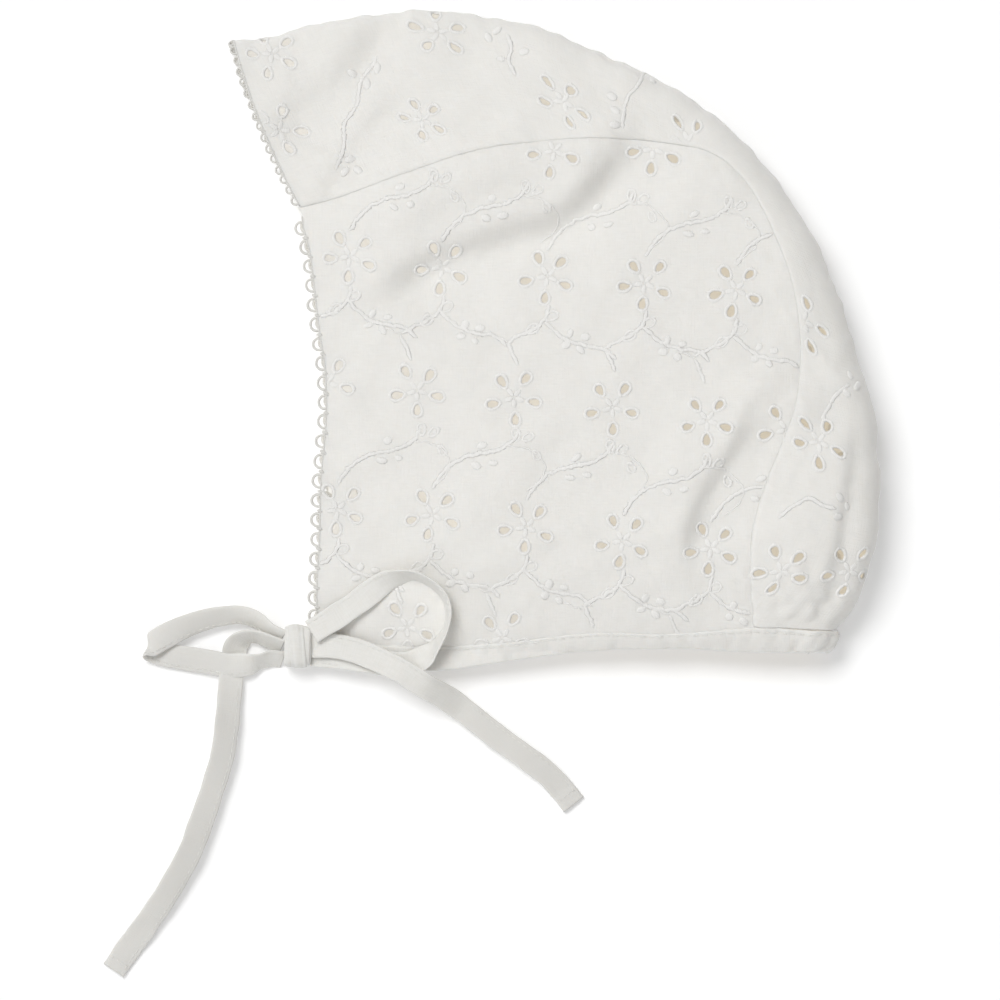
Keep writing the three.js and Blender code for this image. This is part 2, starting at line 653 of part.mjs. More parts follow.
function tapeAlong(table, squareEnds) {
  const at = through(table.map((r) => new THREE.Vector3(r.x, r.y, r.z)));
  const angles = through(table.map((r) => new THREE.Vector3(r.side, r.rise, 0)));
  const last = (table.length - 1) * TAPE_STEPS;
  const section = [...TAPE_SECTION, ...TAPE_SECTION.map(([a, n]) => [-a, -n])];
  const rings = [];
  for (let i = 0; i <= last; i += 1) {
    const row = i / TAPE_STEPS;
    const ahead = at(Math.min(row + 0.1, table.length - 1)).sub(at(Math.max(row - 0.1, 0))).normalize();
    if ((i === 0 && squareEnds > 0) || (i === last && squareEnds > 1)) {
      ahead.set(Math.sign(ahead.x), 0, 0);
    }
    const turn = THREE.MathUtils.degToRad(angles(row).x);
    const tip = THREE.MathUtils.degToRad(angles(row).y);
    const across = new THREE.Vector3(Math.cos(turn) * Math.cos(tip), Math.sin(turn) * Math.cos(tip), Math.sin(tip));
    across.addScaledVector(ahead, -across.dot(ahead)).normalize();
    const normal = ahead.clone().cross(across).normalize();
    rings.push(
      section.map(([a, n]) =>
        at(row).addScaledVector(across, a * TIE_WIDTH).addScaledVector(normal, n * TIE_WALL)
      )
    );
  }
  return barFrom(rings);
}

// The knot is a barrel of tape, pinched in its middle
function bowKnot() {
  const sides = 12;
  const levels = [-1, -0.92, -0.5, 0, 0.5, 0.92, 1];
  const middle = (KNOT.low + KNOT.high) / 2;
  const rings = levels.map((level) => {
    const end = Math.abs(level) > 0.95 ? 0.8 : 1 - 0.06 * (1 - Math.abs(level)) * KNOT.pinch;
    return Array.from({ length: sides }, (_, k) => {
      const turn = (k / sides) * 2 * Math.PI;
      const round = (v) => Math.sign(v) * Math.abs(v) ** 0.6;
      const y = KNOT.y + (KNOT.long / 2) * round(Math.cos(turn)) * end;
      const z = middle + ((KNOT.high - KNOT.low) / 2) * round(Math.sin(turn)) * end;
      return new THREE.Vector3(KNOT.x + (KNOT.wide / 2) * level, y, z);
    });
  });
  return barFrom(rings);
}

const bonnet = new THREE.Group();

function addPiece(name, geometry, look) {
  const mesh = new THREE.Mesh(geometry, new THREE.MeshStandardMaterial(look));
  mesh.name = name;
  bonnet.add(mesh);
}

addPiece('near_side_panel', nearSidePanel(), COTTON);
addPiece('far_side_panel', farSidePanel(), COTTON);
addPiece('crown_strip', crownStrip(), COTTON);
addPiece('neck_band', neckBand(), COTTON);
addPiece('near_loop_edging', loopEdging(0, onNear, -1, 1), COTTON);
addPiece('far_loop_edging', loopEdging(FAR_INSET, onFar, 1, 2), COTTON);
addPiece('bow_knot', bowKnot(), TAPE);
addPiece('left_bow_loop', tapeAlong(LEFT_LOOP, 2), TAPE);
addPiece('left_tie_tail', tapeAlong(LEFT_TAIL, 1), TAPE);
addPiece('right_bow_loop', tapeAlong(RIGHT_LOOP, 2), TAPE);
addPiece('right_tie_tail', tapeAlong(RIGHT_TAIL, 1), TAPE);

export default bonnet;
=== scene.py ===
# %% [markdown]
# # An infant's eyelet bonnet
# The bonnet lies on its side on a white table: two side panels of white eyelet cotton, a crown strip
# folded round the edge between them, a neck band, small thread loops round the face, and two ties in a
# bow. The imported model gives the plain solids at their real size. This script dresses them in cloth,
# embroidery and thread.

import bpy
import numpy as np
from mathutils.geometry import delaunay_2d_cdt
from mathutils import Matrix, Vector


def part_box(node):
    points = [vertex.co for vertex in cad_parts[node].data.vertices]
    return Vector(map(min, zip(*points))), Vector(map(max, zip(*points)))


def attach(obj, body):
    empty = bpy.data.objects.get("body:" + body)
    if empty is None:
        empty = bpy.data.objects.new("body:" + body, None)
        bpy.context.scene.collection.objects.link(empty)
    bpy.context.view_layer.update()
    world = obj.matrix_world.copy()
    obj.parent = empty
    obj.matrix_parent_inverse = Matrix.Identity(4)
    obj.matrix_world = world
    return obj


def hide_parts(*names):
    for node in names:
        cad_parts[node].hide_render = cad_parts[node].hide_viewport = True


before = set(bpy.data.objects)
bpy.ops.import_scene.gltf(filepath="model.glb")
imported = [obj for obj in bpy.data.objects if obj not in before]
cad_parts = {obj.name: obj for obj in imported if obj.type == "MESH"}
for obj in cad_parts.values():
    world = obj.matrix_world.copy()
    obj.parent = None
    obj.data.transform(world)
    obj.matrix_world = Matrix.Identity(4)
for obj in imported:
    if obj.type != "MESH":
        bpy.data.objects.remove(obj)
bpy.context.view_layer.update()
bpy.ops.object.select_all(action="DESELECT")
print("nodes:", sorted(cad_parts))

# %% [markdown]
# ## The camera
# The picture was taken from straight above. A long lens from six metres keeps the outline true, because a
# near camera would spread the raised back of the bonnet outwards. The lens follows from the width of
# table it covers.

# %% Camera
PICTURE_WIDTH = 0.280
PICTURE_MIDDLE = (-0.0147, -0.0443)
CAMERA_HEIGHT = 6.0

bpy.ops.object.camera_add(location=(*PICTURE_MIDDLE, CAMERA_HEIGHT), rotation=(0, 0, 0))
camera = bpy.context.object
camera.name = "camera_above"
camera.data.lens = camera.data.sensor_width * CAMERA_HEIGHT / PICTURE_WIDTH
camera.data.clip_end = 2 * CAMERA_HEIGHT
bpy.context.scene.camera = camera
print("lens:", round(camera.data.lens), "mm")

# %% [markdown]
# ## Helpers for smooth lines and small bodies
# A few rows of a table are enough for a soft line if a curve runs through them. The curve used here
# passes through every row, and its slope there is set by the two neighbouring rows. A crumple is a sum of
# waves that run in all directions, which looks like cloth that nobody has ironed.

# %% Smooth lines
def smooth(rows, at):
    """Points on the curve through the rows of a table, read at row numbers with fractions."""
    rows = np.asarray(rows, float)
    padded = np.vstack([2 * rows[0] - rows[1], rows, 2 * rows[-1] - rows[-2]])
    at = np.clip(np.asarray(at, float), 0, len(rows) - 1)
    first = np.minimum(at.astype(int), len(rows) - 2)
    t = (at - first)[..., None]
    a, b, c, d = (padded[first + k] for k in range(4))
    return b + 0.5 * t * (c - a + t * (2 * a - 5 * b + 4 * c - d + t * (3 * (b - c) + d - a)))


def unit(vectors):
    return vectors / np.maximum(np.linalg.norm(vectors, axis=-1, keepdims=True), 1e-12)


def run_length(points):
    """How far along a line of points each point lies."""
    steps = np.linalg.norm(np.diff(points, axis=0), axis=1)
    return np.concatenate([[0], np.cumsum(steps)])


def even_points(points, step):
    """The same line with its points an even step apart."""
    run = run_length(points)
    at = np.linspace(0, run[-1], max(int(round(run[-1] / step)), 2) + 1)
    return np.stack([np.interp(at, run, points[:, k]) for k in range(points.shape[1])], axis=1)


def crumple(places, wave, seed, count=20):
    """Soft irregular waves of about the given length, between about -1 and 1, over flat places."""
    rng = np.random.default_rng(seed)
    total = np.zeros(len(places))
    for _ in range(count):
        turn, shift = rng.uniform(0, 2 * np.pi, 2)
        length = wave * rng.uniform(0.7, 1.5)
        along = places[:, 0] * np.cos(turn) + places[:, 1] * np.sin(turn)
        total += np.sin(2 * np.pi * along / length + shift)
    return total / np.sqrt(2 * count)


# %% [markdown]
# A piece of cloth has thousands of points whose places are worked out, so its mesh is built from arrays.
# Every point also gets its place on the flat cloth, as a UV map in metres, so that the weave follows the
# folds. What can be shaped by hand goes through edit mode instead, and a modifier is applied as soon as
# it is set.

# %% Meshes from arrays
def cloth_object(name, points, faces, flat):
    """A mesh object with smooth faces and the UV map flat."""
    mesh = bpy.data.meshes.new(name)
    mesh.from_pydata(points.tolist(), [], faces)
    corners = np.empty(len(mesh.loops), np.int32)
    mesh.loops.foreach_get("vertex_index", corners)
    layer = mesh.uv_layers.new(name="flat")
    layer.uv.foreach_set("vector", flat[corners].astype(np.float32).ravel())
    mesh.shade_smooth()
    made = bpy.data.objects.new(name, mesh)
    bpy.context.collection.objects.link(made)
    return made


def in_edit_mode(made, *steps):
    """Runs edit-mode operators on all of one object."""
    bpy.ops.object.select_all(action="DESELECT")
    made.select_set(True)
    bpy.context.view_layer.objects.active = made
    bpy.ops.object.mode_set(mode="EDIT")
    bpy.ops.mesh.select_all(action="SELECT")
    for step in steps:
        step()
    bpy.ops.object.mode_set(mode="OBJECT")
    made.select_set(False)


def apply_modifier(made, kind, **settings):
    bpy.context.view_layer.objects.active = made
    modifier = made.modifiers.new(kind.lower(), kind)
    for key, value in settings.items():
        setattr(modifier, key, value)
    bpy.ops.object.modifier_apply(modifier=modifier.name)


# %% [markdown]
# Embroidery and seams are hundreds of small bodies of thread. Made one by one they would be hundreds of
# objects, so a Bundle gathers their points and faces first and makes one mesh of them. A loft lays a skin
# over rings of points, as for a cord, and a copy sets a small modelled shape in its place.

# %% Many bodies in one mesh
TABLE_GAP = 0.00003          # nothing reaches lower than this over the table


class Bundle:
    """Many small closed bodies that become one mesh."""

    def __init__(self):
        self.points, self.faces, self.flat, self.count = [], [], [], 0

    def add(self, points, faces, flat):
        self.points.append(points)
        self.flat.append(flat)
        self.faces += faces
        self.count += len(points)

    def loft(self, rings, flat=None, closed=False):
        """A skin over rings of points; closed joins the last ring to the first, else each end is shut."""
        rows, sides = rings.shape[:2]
        ids = self.count + np.arange(rows * sides).reshape(rows, sides)
        ahead = np.roll(ids, -1, axis=0) if closed else ids[1:]
        here = ids if closed else ids[:-1]
        quads = np.stack([here, np.roll(here, -1, 1), np.roll(ahead, -1, 1), ahead], axis=-1).reshape(-1, 4)
        faces = quads.tolist()
        if not closed:
            faces += [ids[0, ::-1].tolist(), ids[-1].tolist()]
        if flat is None:
            along = run_length(rings.mean(axis=1))
            if closed:
                along = np.minimum(along, along[-1] - along)
            around = np.linalg.norm(rings[0] - np.roll(rings[0], 1, axis=0), axis=1).sum() / sides
            there_and_back = np.minimum(np.arange(sides), sides - np.arange(sides)) * around
            flat = np.stack(np.broadcast_arrays(along[:, None], there_and_back), axis=-1)
        self.add(rings.reshape(-1, 3), faces, flat.reshape(-1, 2))

    def copy(self, shape, places, along, up, size):
        """Copies of a small shape, each with its own place, direction, upward side and size."""
        points, faces = shape
        side = unit(np.cross(up, along))
        for place, a, s, n, scale in zip(places, along, side, np.cross(along, side), size):
            turned = place + (points * scale) @ np.stack([a, s, n])
            self.add(turned, [[k + self.count for k in f] for f in faces], points[:, :2] * scale[:2])

    def make(self, name):
        """The bodies as one object; whatever would reach under the table is pressed flat on it."""
        points = np.vstack(self.points)
        points[:, 2] = np.maximum(points[:, 2], TABLE_GAP)
        made = cloth_object(name, points, self.faces, np.vstack(self.flat))
        in_edit_mode(made, lambda: bpy.ops.mesh.normals_make_consistent(inside=False))
        print(name, len(made.data.polygons), "faces")
        return made


def take_shape(made):
    """Points and faces of a modelled shape, whose object is then removed."""
    points = np.array([v.co for v in made.data.vertices])
    faces = [list(f.vertices) for f in made.data.polygons]
    bpy.data.objects.remove(made)
    return points, faces


# %% [markdown]
# ## One stitch and one satin dot
# Every stitch is a short bead of thread, and every raised dot or leaf of the embroidery is a low lens.
# Both are a small sphere with its poles along the thread, modelled once, one unit wide. Each copy is
# stretched to its own length, width and height. There are hundreds of copies, so the two shapes have few
# faces.

# %% Stitch and satin dot
def lying_sphere(segments, rings):
    bpy.ops.mesh.primitive_uv_sphere_add(
        segments=segments, ring_count=rings, radius=0.5, rotation=(0, np.pi / 2, 0)
    )
    bead = bpy.context.object
    bpy.ops.object.transform_apply(location=True, rotation=True, scale=True)
    return take_shape(bead)


STITCH = lying_sphere(8, 6)
DOT = lying_sphere(12, 8)
print("stitch:", len(STITCH[1]), "faces, dot:", len(DOT[1]), "faces")

# %% [markdown]
# ## The ties
# Each tie is a flat cotton tape, about 7 mm wide, sewn shut along one edge. A flat cord turns and twists,
# so each row of its route also says which way its width points and how far that side is tipped up. The
# tape is a rounded flat section swept along the route, with a shallow groove for the row of stitches.

# %% Routes of the ties
TIE_WIDTH = 0.007
TIE_THICK = 0.0009

# Each row: x, y, z of the middle line, direction of the width seen from above, and its rise, in degrees
LEFT_LOOP = [
    (-0.0755, -0.0829, 0.0056, -100, -50),
    (-0.0790, -0.0809, 0.0058, -118, -52),
    (-0.0830, -0.0779, 0.0056, -120, -48),
    (-0.0881, -0.0766, 0.0052, -98, -42),
    (-0.0945, -0.0772, 0.0049, -84, -36),
    (-0.1015, -0.0793, 0.0045, -76, -24),
    (-0.1075, -0.0820, 0.0041, -86, -10),
    (-0.1115, -0.0843, 0.0034, -100, 0),
    (-0.1129, -0.0854, 0.0024, -104, 0),
    (-0.1115, -0.0864, 0.0016, -102, 0),
    (-0.1075, -0.0878, 0.0016, -98, -4),
    (-0.1015, -0.0888, 0.0021, -92, -12),
    (-0.0955, -0.0897, 0.0028, -98, -14),
    (-0.0900, -0.0906, 0.0030, -100, -12),
    (-0.0852, -0.0902, 0.0037, -86, -26),
    (-0.0820, -0.0893, 0.0036, -78, -50),
    (-0.0790, -0.0886, 0.0032, -84, -48),
    (-0.0755, -0.0890, 0.0025, -90, -50),
]
LEFT_TAIL = [
    (-0.0755, -0.0853, 0.0048, -95, -50),
    (-0.0794, -0.0836, 0.0049, -115, -56),
    (-0.0833, -0.0824, 0.0044, -100, -58),
    (-0.0865, -0.0829, 0.0035, -60, -50),
    (-0.0886, -0.0850, 0.0018, -25, -20),
    (-0.0892, -0.0882, 0.0010, -5, 0),
    (-0.0899, -0.0935, 0.0022, -3, -8),
    (-0.0909, -0.1045, 0.0042, -7, -18),
    (-0.0923, -0.1154, 0.0050, -12, -16),
    (-0.0953, -0.1257, 0.0046, -17, -10),
    (-0.0980, -0.1336, 0.0047, -20, -13),
    (-0.1018, -0.1434, 0.0050, -25, -17),
    (-0.1078, -0.1543, 0.0042, -31, -15),
    (-0.1137, -0.1630, 0.0026, -35, -9),
    (-0.1186, -0.1697, 0.0012, -35, -3),
    (-0.1229, -0.1760, 0.0008, -35, 2),
]
RIGHT_LOOP = [
    (-0.0674, -0.0812, 0.0089, 98, 0),
    (-0.0642, -0.0792, 0.0096, 118, -8),
    (-0.0609, -0.0772, 0.0098, 128, -10),
    (-0.0545, -0.0729, 0.0106, 128, -8),
    (-0.0497, -0.0692, 0.0119, 126, 6),
    (-0.0455, -0.0665, 0.0136, 116, 36),
    (-0.0399, -0.0652, 0.0150, 92, 66),
    (-0.0354, -0.0666, 0.0154, 66, 72),
    (-0.0318, -0.0692, 0.0154, 44, 74),
    (-0.0298, -0.0722, 0.0151, 24, 76),
    (-0.0290, -0.0756, 0.0146, 4, 78),
    (-0.0293, -0.0790, 0.0140, -16, 80),
    (-0.0307, -0.0824, 0.0133, -32, 76),
    (-0.0328, -0.0856, 0.0123, -46, 64),
    (-0.0357, -0.0882, 0.0104, -58, 28),
    (-0.0399, -0.0900, 0.0087, -72, -8),
    (-0.0460, -0.0900, 0.0078, -86, -4),
    (-0.0550, -0.0886, 0.0069, -92, 0),
    (-0.0674, -0.0872, 0.0052, -90, 0),
]
RIGHT_TAIL = [
    (-0.0674, -0.0850, 0.0068, 90, 0),
    (-0.0620, -0.0850, 0.0078, 86, 0),
    (-0.0550, -0.0864, 0.0088, 74, 0),
    (-0.0475, -0.0895, 0.0101, 66, 2),
    (-0.0420, -0.0922, 0.0109, 62, 6),
    (-0.0360, -0.0960, 0.0098, 60, 14),
    (-0.0310, -0.0988, 0.0064, 56, 4),
    (-0.0261, -0.1022, 0.0031, 54, 0),
    (-0.0210, -0.1062, 0.0024, 53, -4),
    (-0.0155, -0.1106, 0.0022, 53, -8),
    (-0.0085, -0.1156, 0.0024, 53, -11),
    (-0.0021, -0.1204, 0.0019, 51, -8),
    (0.0025, -0.1252, 0.0011, 46, -4),
    (0.0060, -0.1296, 0.0008, 42, -2),
]

# %% [markdown]
# The section of a tape is a flat bar with round edges and a groove on both sides where the seam runs.
# Real tape is never quite even, so its width changes a little along the way and its edges curl up. A free
# end is turned over twice and sewn, which makes the last few millimetres thicker.

# %% Sweep a tape
TAPE_ROWS = 10               # rings between two rows of a route
TAPE_HALF = 12               # points over half of the section
TAPE_SQUARE = 5              # 2 makes the section an oval, more makes it a bar with round edges
SEAM_PLACE = 0.34            # where the row of stitches runs, as a share of the width from the middle
SEAM_GROOVE = 0.16           # depth of its groove, as a share of the thickness
GROOVE_WIDE = 0.045          # half width of the groove, as a share of the tape's width
TAPE_UNEVEN = 0.035          # share by which the width changes
TAPE_WAVE = 0.009
CURL = 0.00035               # how far the edges curl up
CURL_WAVE = 0.016
HEM = 0.0045                 # length of a hem
HEM_FULLER = 0.45            # share by which a hem is thicker
HEM_STEP = 0.0003


def tape_frame(route):
    """Middle line, width direction and upward direction of a tape, ring by ring."""
    route = np.array(route)
    rows = np.linspace(0, len(route) - 1, (len(route) - 1) * TAPE_ROWS + 1)
    middle = smooth(route[:, :3], rows)
    turn, rise = np.radians(smooth(route[:, 3:], rows)).T
    width = np.stack([np.cos(turn) * np.cos(rise), np.sin(turn) * np.cos(rise), np.sin(rise)], axis=1)
    ahead = unit(np.gradient(middle, axis=0))
    width = unit(width - (width * ahead).sum(1, keepdims=True) * ahead)
    return middle, width, np.cross(ahead, width)


def tape_section():
    """Places over the section: share of the width, and share of the thickness."""
    across = np.sin(np.linspace(-np.pi / 2, np.pi / 2, TAPE_HALF)) * 0.5
    high = 0.5 * np.sqrt(np.clip(1 - np.abs(2 * across) ** TAPE_SQUARE, 0, 1))
    groove = SEAM_GROOVE * np.exp(-(((across - SEAM_PLACE) / GROOVE_WIDE) ** 2))
    top = np.stack([across, high - groove], axis=1)
    bottom = np.stack([across[1:-1], -high[1:-1] + groove[1:-1]], axis=1)
    return np.vstack([top, bottom[::-1]])


def make_tape(name, route, seed, hemmed):
    """The tape's mesh, its middle line, and the places and directions of its stitches."""
    middle, width, up = tape_frame(route)
    up = up * np.where(up[:, 2:].mean() < 0, -1, 1)
    run = run_length(middle)
    soft = crumple(np.stack([run, run * 0], 1), TAPE_WAVE, seed, 8)
    section = tape_section()
    wide = TIE_WIDTH * (1 + TAPE_UNEVEN * soft)
    thick = np.full(len(run), TIE_THICK)
    if hemmed:
        thick = thick * (1 + HEM_FULLER / (1 + np.exp((run[-1] - HEM - run) / HEM_STEP)))
    curl = CURL * crumple(np.stack([run, run * 0 + 1], 1), CURL_WAVE, seed + 1, 8)
    bow = (section[:, 0] * 2) ** 2
    rings = (
        middle[:, None]
        + width[:, None] * (section[:, 0] * wide[:, None])[..., None]
        + up[:, None] * (section[:, 1] * thick[:, None] + np.abs(curl)[:, None] * bow)[..., None]
    )
    flat = np.stack(np.broadcast_arrays(run[:, None], section[:, 0] * TIE_WIDTH), axis=-1)
    body = Bundle()
    body.loft(rings, flat)
    made = body.make(name)
    return made, middle, (width, up, run)


ties = {}
for name, route, seed, hemmed in (
    ("left_bow_loop", LEFT_LOOP, 3, False),
    ("left_tie_tail", LEFT_TAIL, 5, True),
    ("right_bow_loop", RIGHT_LOOP, 7, False),
    ("right_tie_tail", RIGHT_TAIL, 9, True),
):
    ties[name] = make_tape(name + "_tape", route, seed, hemmed)
    print(name, "length", round(run_length(ties[name][1])[-1], 4), "m")

# %% [markdown]
# The seam of a tape is one row of small stitches, seen on both of its faces. They lie in the groove, a
# little under two millimetres apart, and the two free ends have a short row across their hem as well.

# %% Stitches of the ties
TIE_STITCH = 0.0014          # length of one stitch
TIE_STITCH_PITCH = 0.0019    # from one stitch to the next
THREAD = 0.00034             # sewing thread
HEM_PLACE = 0.8              # where the row across a hem runs, as a share of the hem
HEM_ROW = 0.42               # its reach to each side, as a share of the width
HEM_TIGHTER = 0.8            # its stitches are this much smaller


def stitch_row(bundle, line, up, pitch, length, seed):
    """Stitches laid end to end along a line on a surface with the given upward directions."""
    run = run_length(line)
    at = np.arange(pitch / 2, run[-1] - pitch / 3, pitch)
    rng = np.random.default_rng(seed)
    at = at + rng.uniform(-0.08, 0.08, len(at)) * pitch
    place = np.stack([np.interp(at, run, line[:, k]) for k in range(3)], axis=1)
    along = unit(np.stack([np.interp(at, run, np.gradient(line, axis=0)[:, k]) for k in range(3)], axis=1))
    above = unit(np.stack([np.interp(at, run, up[:, k]) for k in range(3)], axis=1))
    size = np.outer(rng.uniform(0.9, 1.08, len(at)), [length, THREAD, THREAD])
    bundle.copy(STITCH, place, along, above, size)


tie_stitches = {}
for name, (tape, middle, (width, up, run)) in ties.items():
    stitches = Bundle()
    level = TIE_THICK * (0.5 - SEAM_GROOVE) + THREAD * 0.12
    edge = middle + width * TIE_WIDTH * SEAM_PLACE
    for side in (1, -1):
        stitch_row(stitches, edge + up * level * side, up, TIE_STITCH_PITCH, TIE_STITCH, 11)
    if name.endswith("tail"):
        k = int(np.searchsorted(run, run[-1] - HEM * HEM_PLACE))
        across = np.linspace(-HEM_ROW, HEM_ROW, 9)[:, None] * TIE_WIDTH
        row = middle[k] + width[k] * across + up[k] * (TIE_THICK * 0.68)
        row_up = np.repeat(up[k : k + 1], 9, axis=0)
        stitch_row(stitches, row, row_up, TIE_STITCH_PITCH * HEM_TIGHTER, TIE_STITCH * HEM_TIGHTER, 12)
    tie_stitches[name] = stitches.make(name + "_stitches")

# %% [markdown]
# Each tie rides on the bonnet and stands for its plain solid, which is hidden. Both loops run back into the
# knot, and both tails end in their own hem.

for name, (tape, middle, _) in ties.items():
    stitches = tie_stitches[name]
    for piece in (tape, stitches):
        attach(piece, "root")
    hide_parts(name)

# %% [markdown]
# ## The form of the lying bonnet
# The bonnet lies flat with some air in it. One formula gives its thickness anywhere: least at the face,
# most at the back, less again at the neck and the crown. The upper layer bulges over the lower one and
# rounds down to the outer fold. These are the sizes and tables of the plain solids, in metres, but the
# rounding beside the fold is a little tighter, as limp cotton lies.

# %% Tables of the form
BACK_DEPTH = 0.026           # thickness over both layers at the back of the head
FRONT_SHARE = 0.34           # thickness at the face, as a share of the back's
NECK_SHARE = 0.5             # thickness at the neck and at the crown, as shares of the fullest place
CROWN_SHARE = 0.48
FACE_X = -0.0707
BACK_X = 0.091
NECK_Y = -0.0865
CROWN_Y = 0.0924
FULLEST = 0.38               # how far up the side it is thickest, as a share
NECK_CURVE = 4               # the larger, the longer it stays full before it thins
CROWN_CURVE = 3
FOLD_LEVEL = 0.42            # level of the outer fold, as a share of the local thickness
FOLD_ROUND = 0.50            # plan width of the rounding beside the fold, as a share of the thickness
FOLD_SQUARE = 3.0            # 2 rounds it as an ellipse, more keeps it flat for longer
FAR_INSET = 0.0018           # the far face edge lies this much further in than the near one
CLOTH = 0.00055              # the cotton itself

# Crown strip, from the peak over the face to the nape: seam x and y, outer fold x and y
STRIP = np.array([
    (-0.0713, 0.0372, -0.0900, 0.0840),
    (-0.0595, 0.0403, -0.0785, 0.0857),
    (-0.0413, 0.0470, -0.0595, 0.0902),
    (-0.0209, 0.0535, -0.0357, 0.0922),
    (-0.0013, 0.0563, -0.0119, 0.0902),
    (0.0167, 0.0566, 0.0133, 0.0812),
    (0.0343, 0.0549, 0.0351, 0.0703),
    (0.0449, 0.0521, 0.0528, 0.0563),
    (0.0545, 0.0437, 0.0651, 0.0414),
    (0.0617, 0.0299, 0.0755, 0.0238),
    (0.0668, 0.0157, 0.0822, 0.0067),
    (0.0690, -0.0008, 0.0858, -0.0056),
    (0.0679, -0.0162, 0.0895, -0.0204),
    (0.0643, -0.0274, 0.0909, -0.0336),
    (0.0595, -0.0392, 0.0911, -0.0456),
    (0.0556, -0.0526, 0.0897, -0.0591),
    (0.0550, -0.0666, 0.0858, -0.0717),
    (0.0559, -0.0796, 0.0791, -0.0807),
])
LAST_ROW = len(STRIP) - 1
FACE_BOW = 0.0017            # how far the strip's face edge bows out
FACE_BOW_ROWS = 2            # and over how many rows of the table that dies away

# Face edge of the side panel, from the neck up to the seam: x, y
FACE_EDGE = [
    (-0.0670, -0.0837),
    (-0.0676, -0.0694),
    (-0.0669, -0.0554),
    (-0.0664, -0.0386),
    (-0.0650, -0.0218),
    (-0.0653, -0.0078),
    (-0.0670, 0.0034),
    (-0.0689, 0.0202),
    (-0.0713, 0.0372),
]

# Neck band: x, its upper line, its lower edge
BAND = np.array([
    (-0.0670, -0.0837, -0.0907),
    (-0.0520, -0.0846, -0.0918),
    (-0.0320, -0.0852, -0.0920),
    (-0.0110, -0.0838, -0.0892),
    (0.0100, -0.0814, -0.0864),
    (0.0340, -0.0815, -0.0858),
    (0.0559, -0.0798, -0.0866),
    (0.0680, -0.0805, -0.0868),
])
NAPE_TOP = np.array([0.0791, -0.0809])
NAPE_LOW = np.array([0.0764, -0.0868])

# Shallow dents of the upper layer: from x, y to x, y, half width, height
DENTS = [
    (-0.044, 0.086, -0.066, 0.058, 0.006, -0.0007),
    (-0.057, -0.038, -0.031, -0.038, 0.006, -0.0007),
    (0.059, -0.011, 0.050, -0.040, 0.006, 0.0010),
    (0.085, -0.018, 0.079, -0.056, 0.005, -0.0006),
    (-0.070, -0.087, -0.060, -0.085, 0.009, -0.0012),
]

# Folds that drop from their left to their right: half width, drop, and x, y of points down the fold, in mm
FOLDS = [
    (4.5, 1.9, [(-46, 91), (-53, 84), (-61, 76), (-70, 68), (-76, 60), (-78, 52)]),
    (2.6, 1.2, [(-38, 72), (-47, 65), (-55, 57), (-60, 49), (-64, 42), (-66, 36)]),
    (4.5, 5.2, [
        (30, 62), (22, 54), (14, 47), (7, 39), (-2, 33),
        (-12, 31), (-24, 27), (-38, 21), (-47, 14), (-54, 6),
    ]),
    (6.0, 3.4, [(10, 55), (-4, 48), (-16, 45), (-30, 39), (-44, 31), (-56, 24)]),
    (2.4, 2.1, [(56, -8), (53, -24), (47, -35), (41, -45), (38, -54), (37, -68)]),
    (1.5, 1.5, [(84, -18), (83, -34), (81, -47), (79, -60), (76, -70), (71, -80)]),
    (3.0, 0.8, [(50, -10), (60, -11), (68, -12), (80, -14)]),
    (3.5, 0.7, [(-55, -32), (-57, -44), (-59, -56)]),
    (4.0, 0.6, [(8, -18), (2, -26), (-2, -36), (4, -48), (10, -56), (4, -68)]),
    (5.0, 0.7, [(-58, -28), (-44, -32), (-30, -36), (-12, -40)]),
    (5.0, 0.6, [(24, 6), (8, 4), (-10, 6), (-26, 4)]),
    (1.1, 0.35, [(61, -64), (65, -70), (68, -76), (69, -82)]),
    (1.0, 0.4, [(68, -58), (71, -66), (73, -73), (74, -81)]),
    (1.3, 0.45, [(69, 10), (73, 0), (79, -7), (82, -12)]),
]
FOLD_REACH = 16.0            # how far to its sides a fold can be felt, in millimetres
FOLD_ENDS = 0.25             # share of a fold over which each of its ends fades

# %% [markdown]
# The height of a layer is a sum: the formula's bulge, the rounding down to the outer fold, shallow dents,
# and folds that drop along a line. A cloth simulation would give folds too, but not the folds of the
# picture, so the lines of the main ones are given and the heights are worked out.

# %% Heights of the two layers
FOLD_STEPS = 14              # points of the outer fold between two rows of the strip's table
ON_FOLD = 0.000005           # nearer than this counts as on the fold itself


def seam_line(rows):
    return smooth(STRIP[:, :2], rows)


def fold_line(rows):
    return smooth(STRIP[:, 2:], rows)


OUTER_FOLD = np.vstack([
    (-0.150, 0.088),
    fold_line(np.linspace(0, LAST_ROW, LAST_ROW * FOLD_STEPS + 1)),
    NAPE_LOW,
    NAPE_LOW - (0.012, 0.030),
])


def ease(share):
    share = np.clip(share, 0, 1)
    return share * share * (3 - 2 * share)


def distance_to_line(places, line):
    """Least distance of each flat place from a line of points."""
    best = np.full(len(places), np.inf)
    for start, end in zip(line[:-1], line[1:]):
        step = end - start
        along = np.clip((places - start) @ step / max(step @ step, 1e-18), 0, 1)
        gap = places - start - along[:, None] * step
        best = np.minimum(best, (gap**2).sum(1))
    return np.sqrt(best)


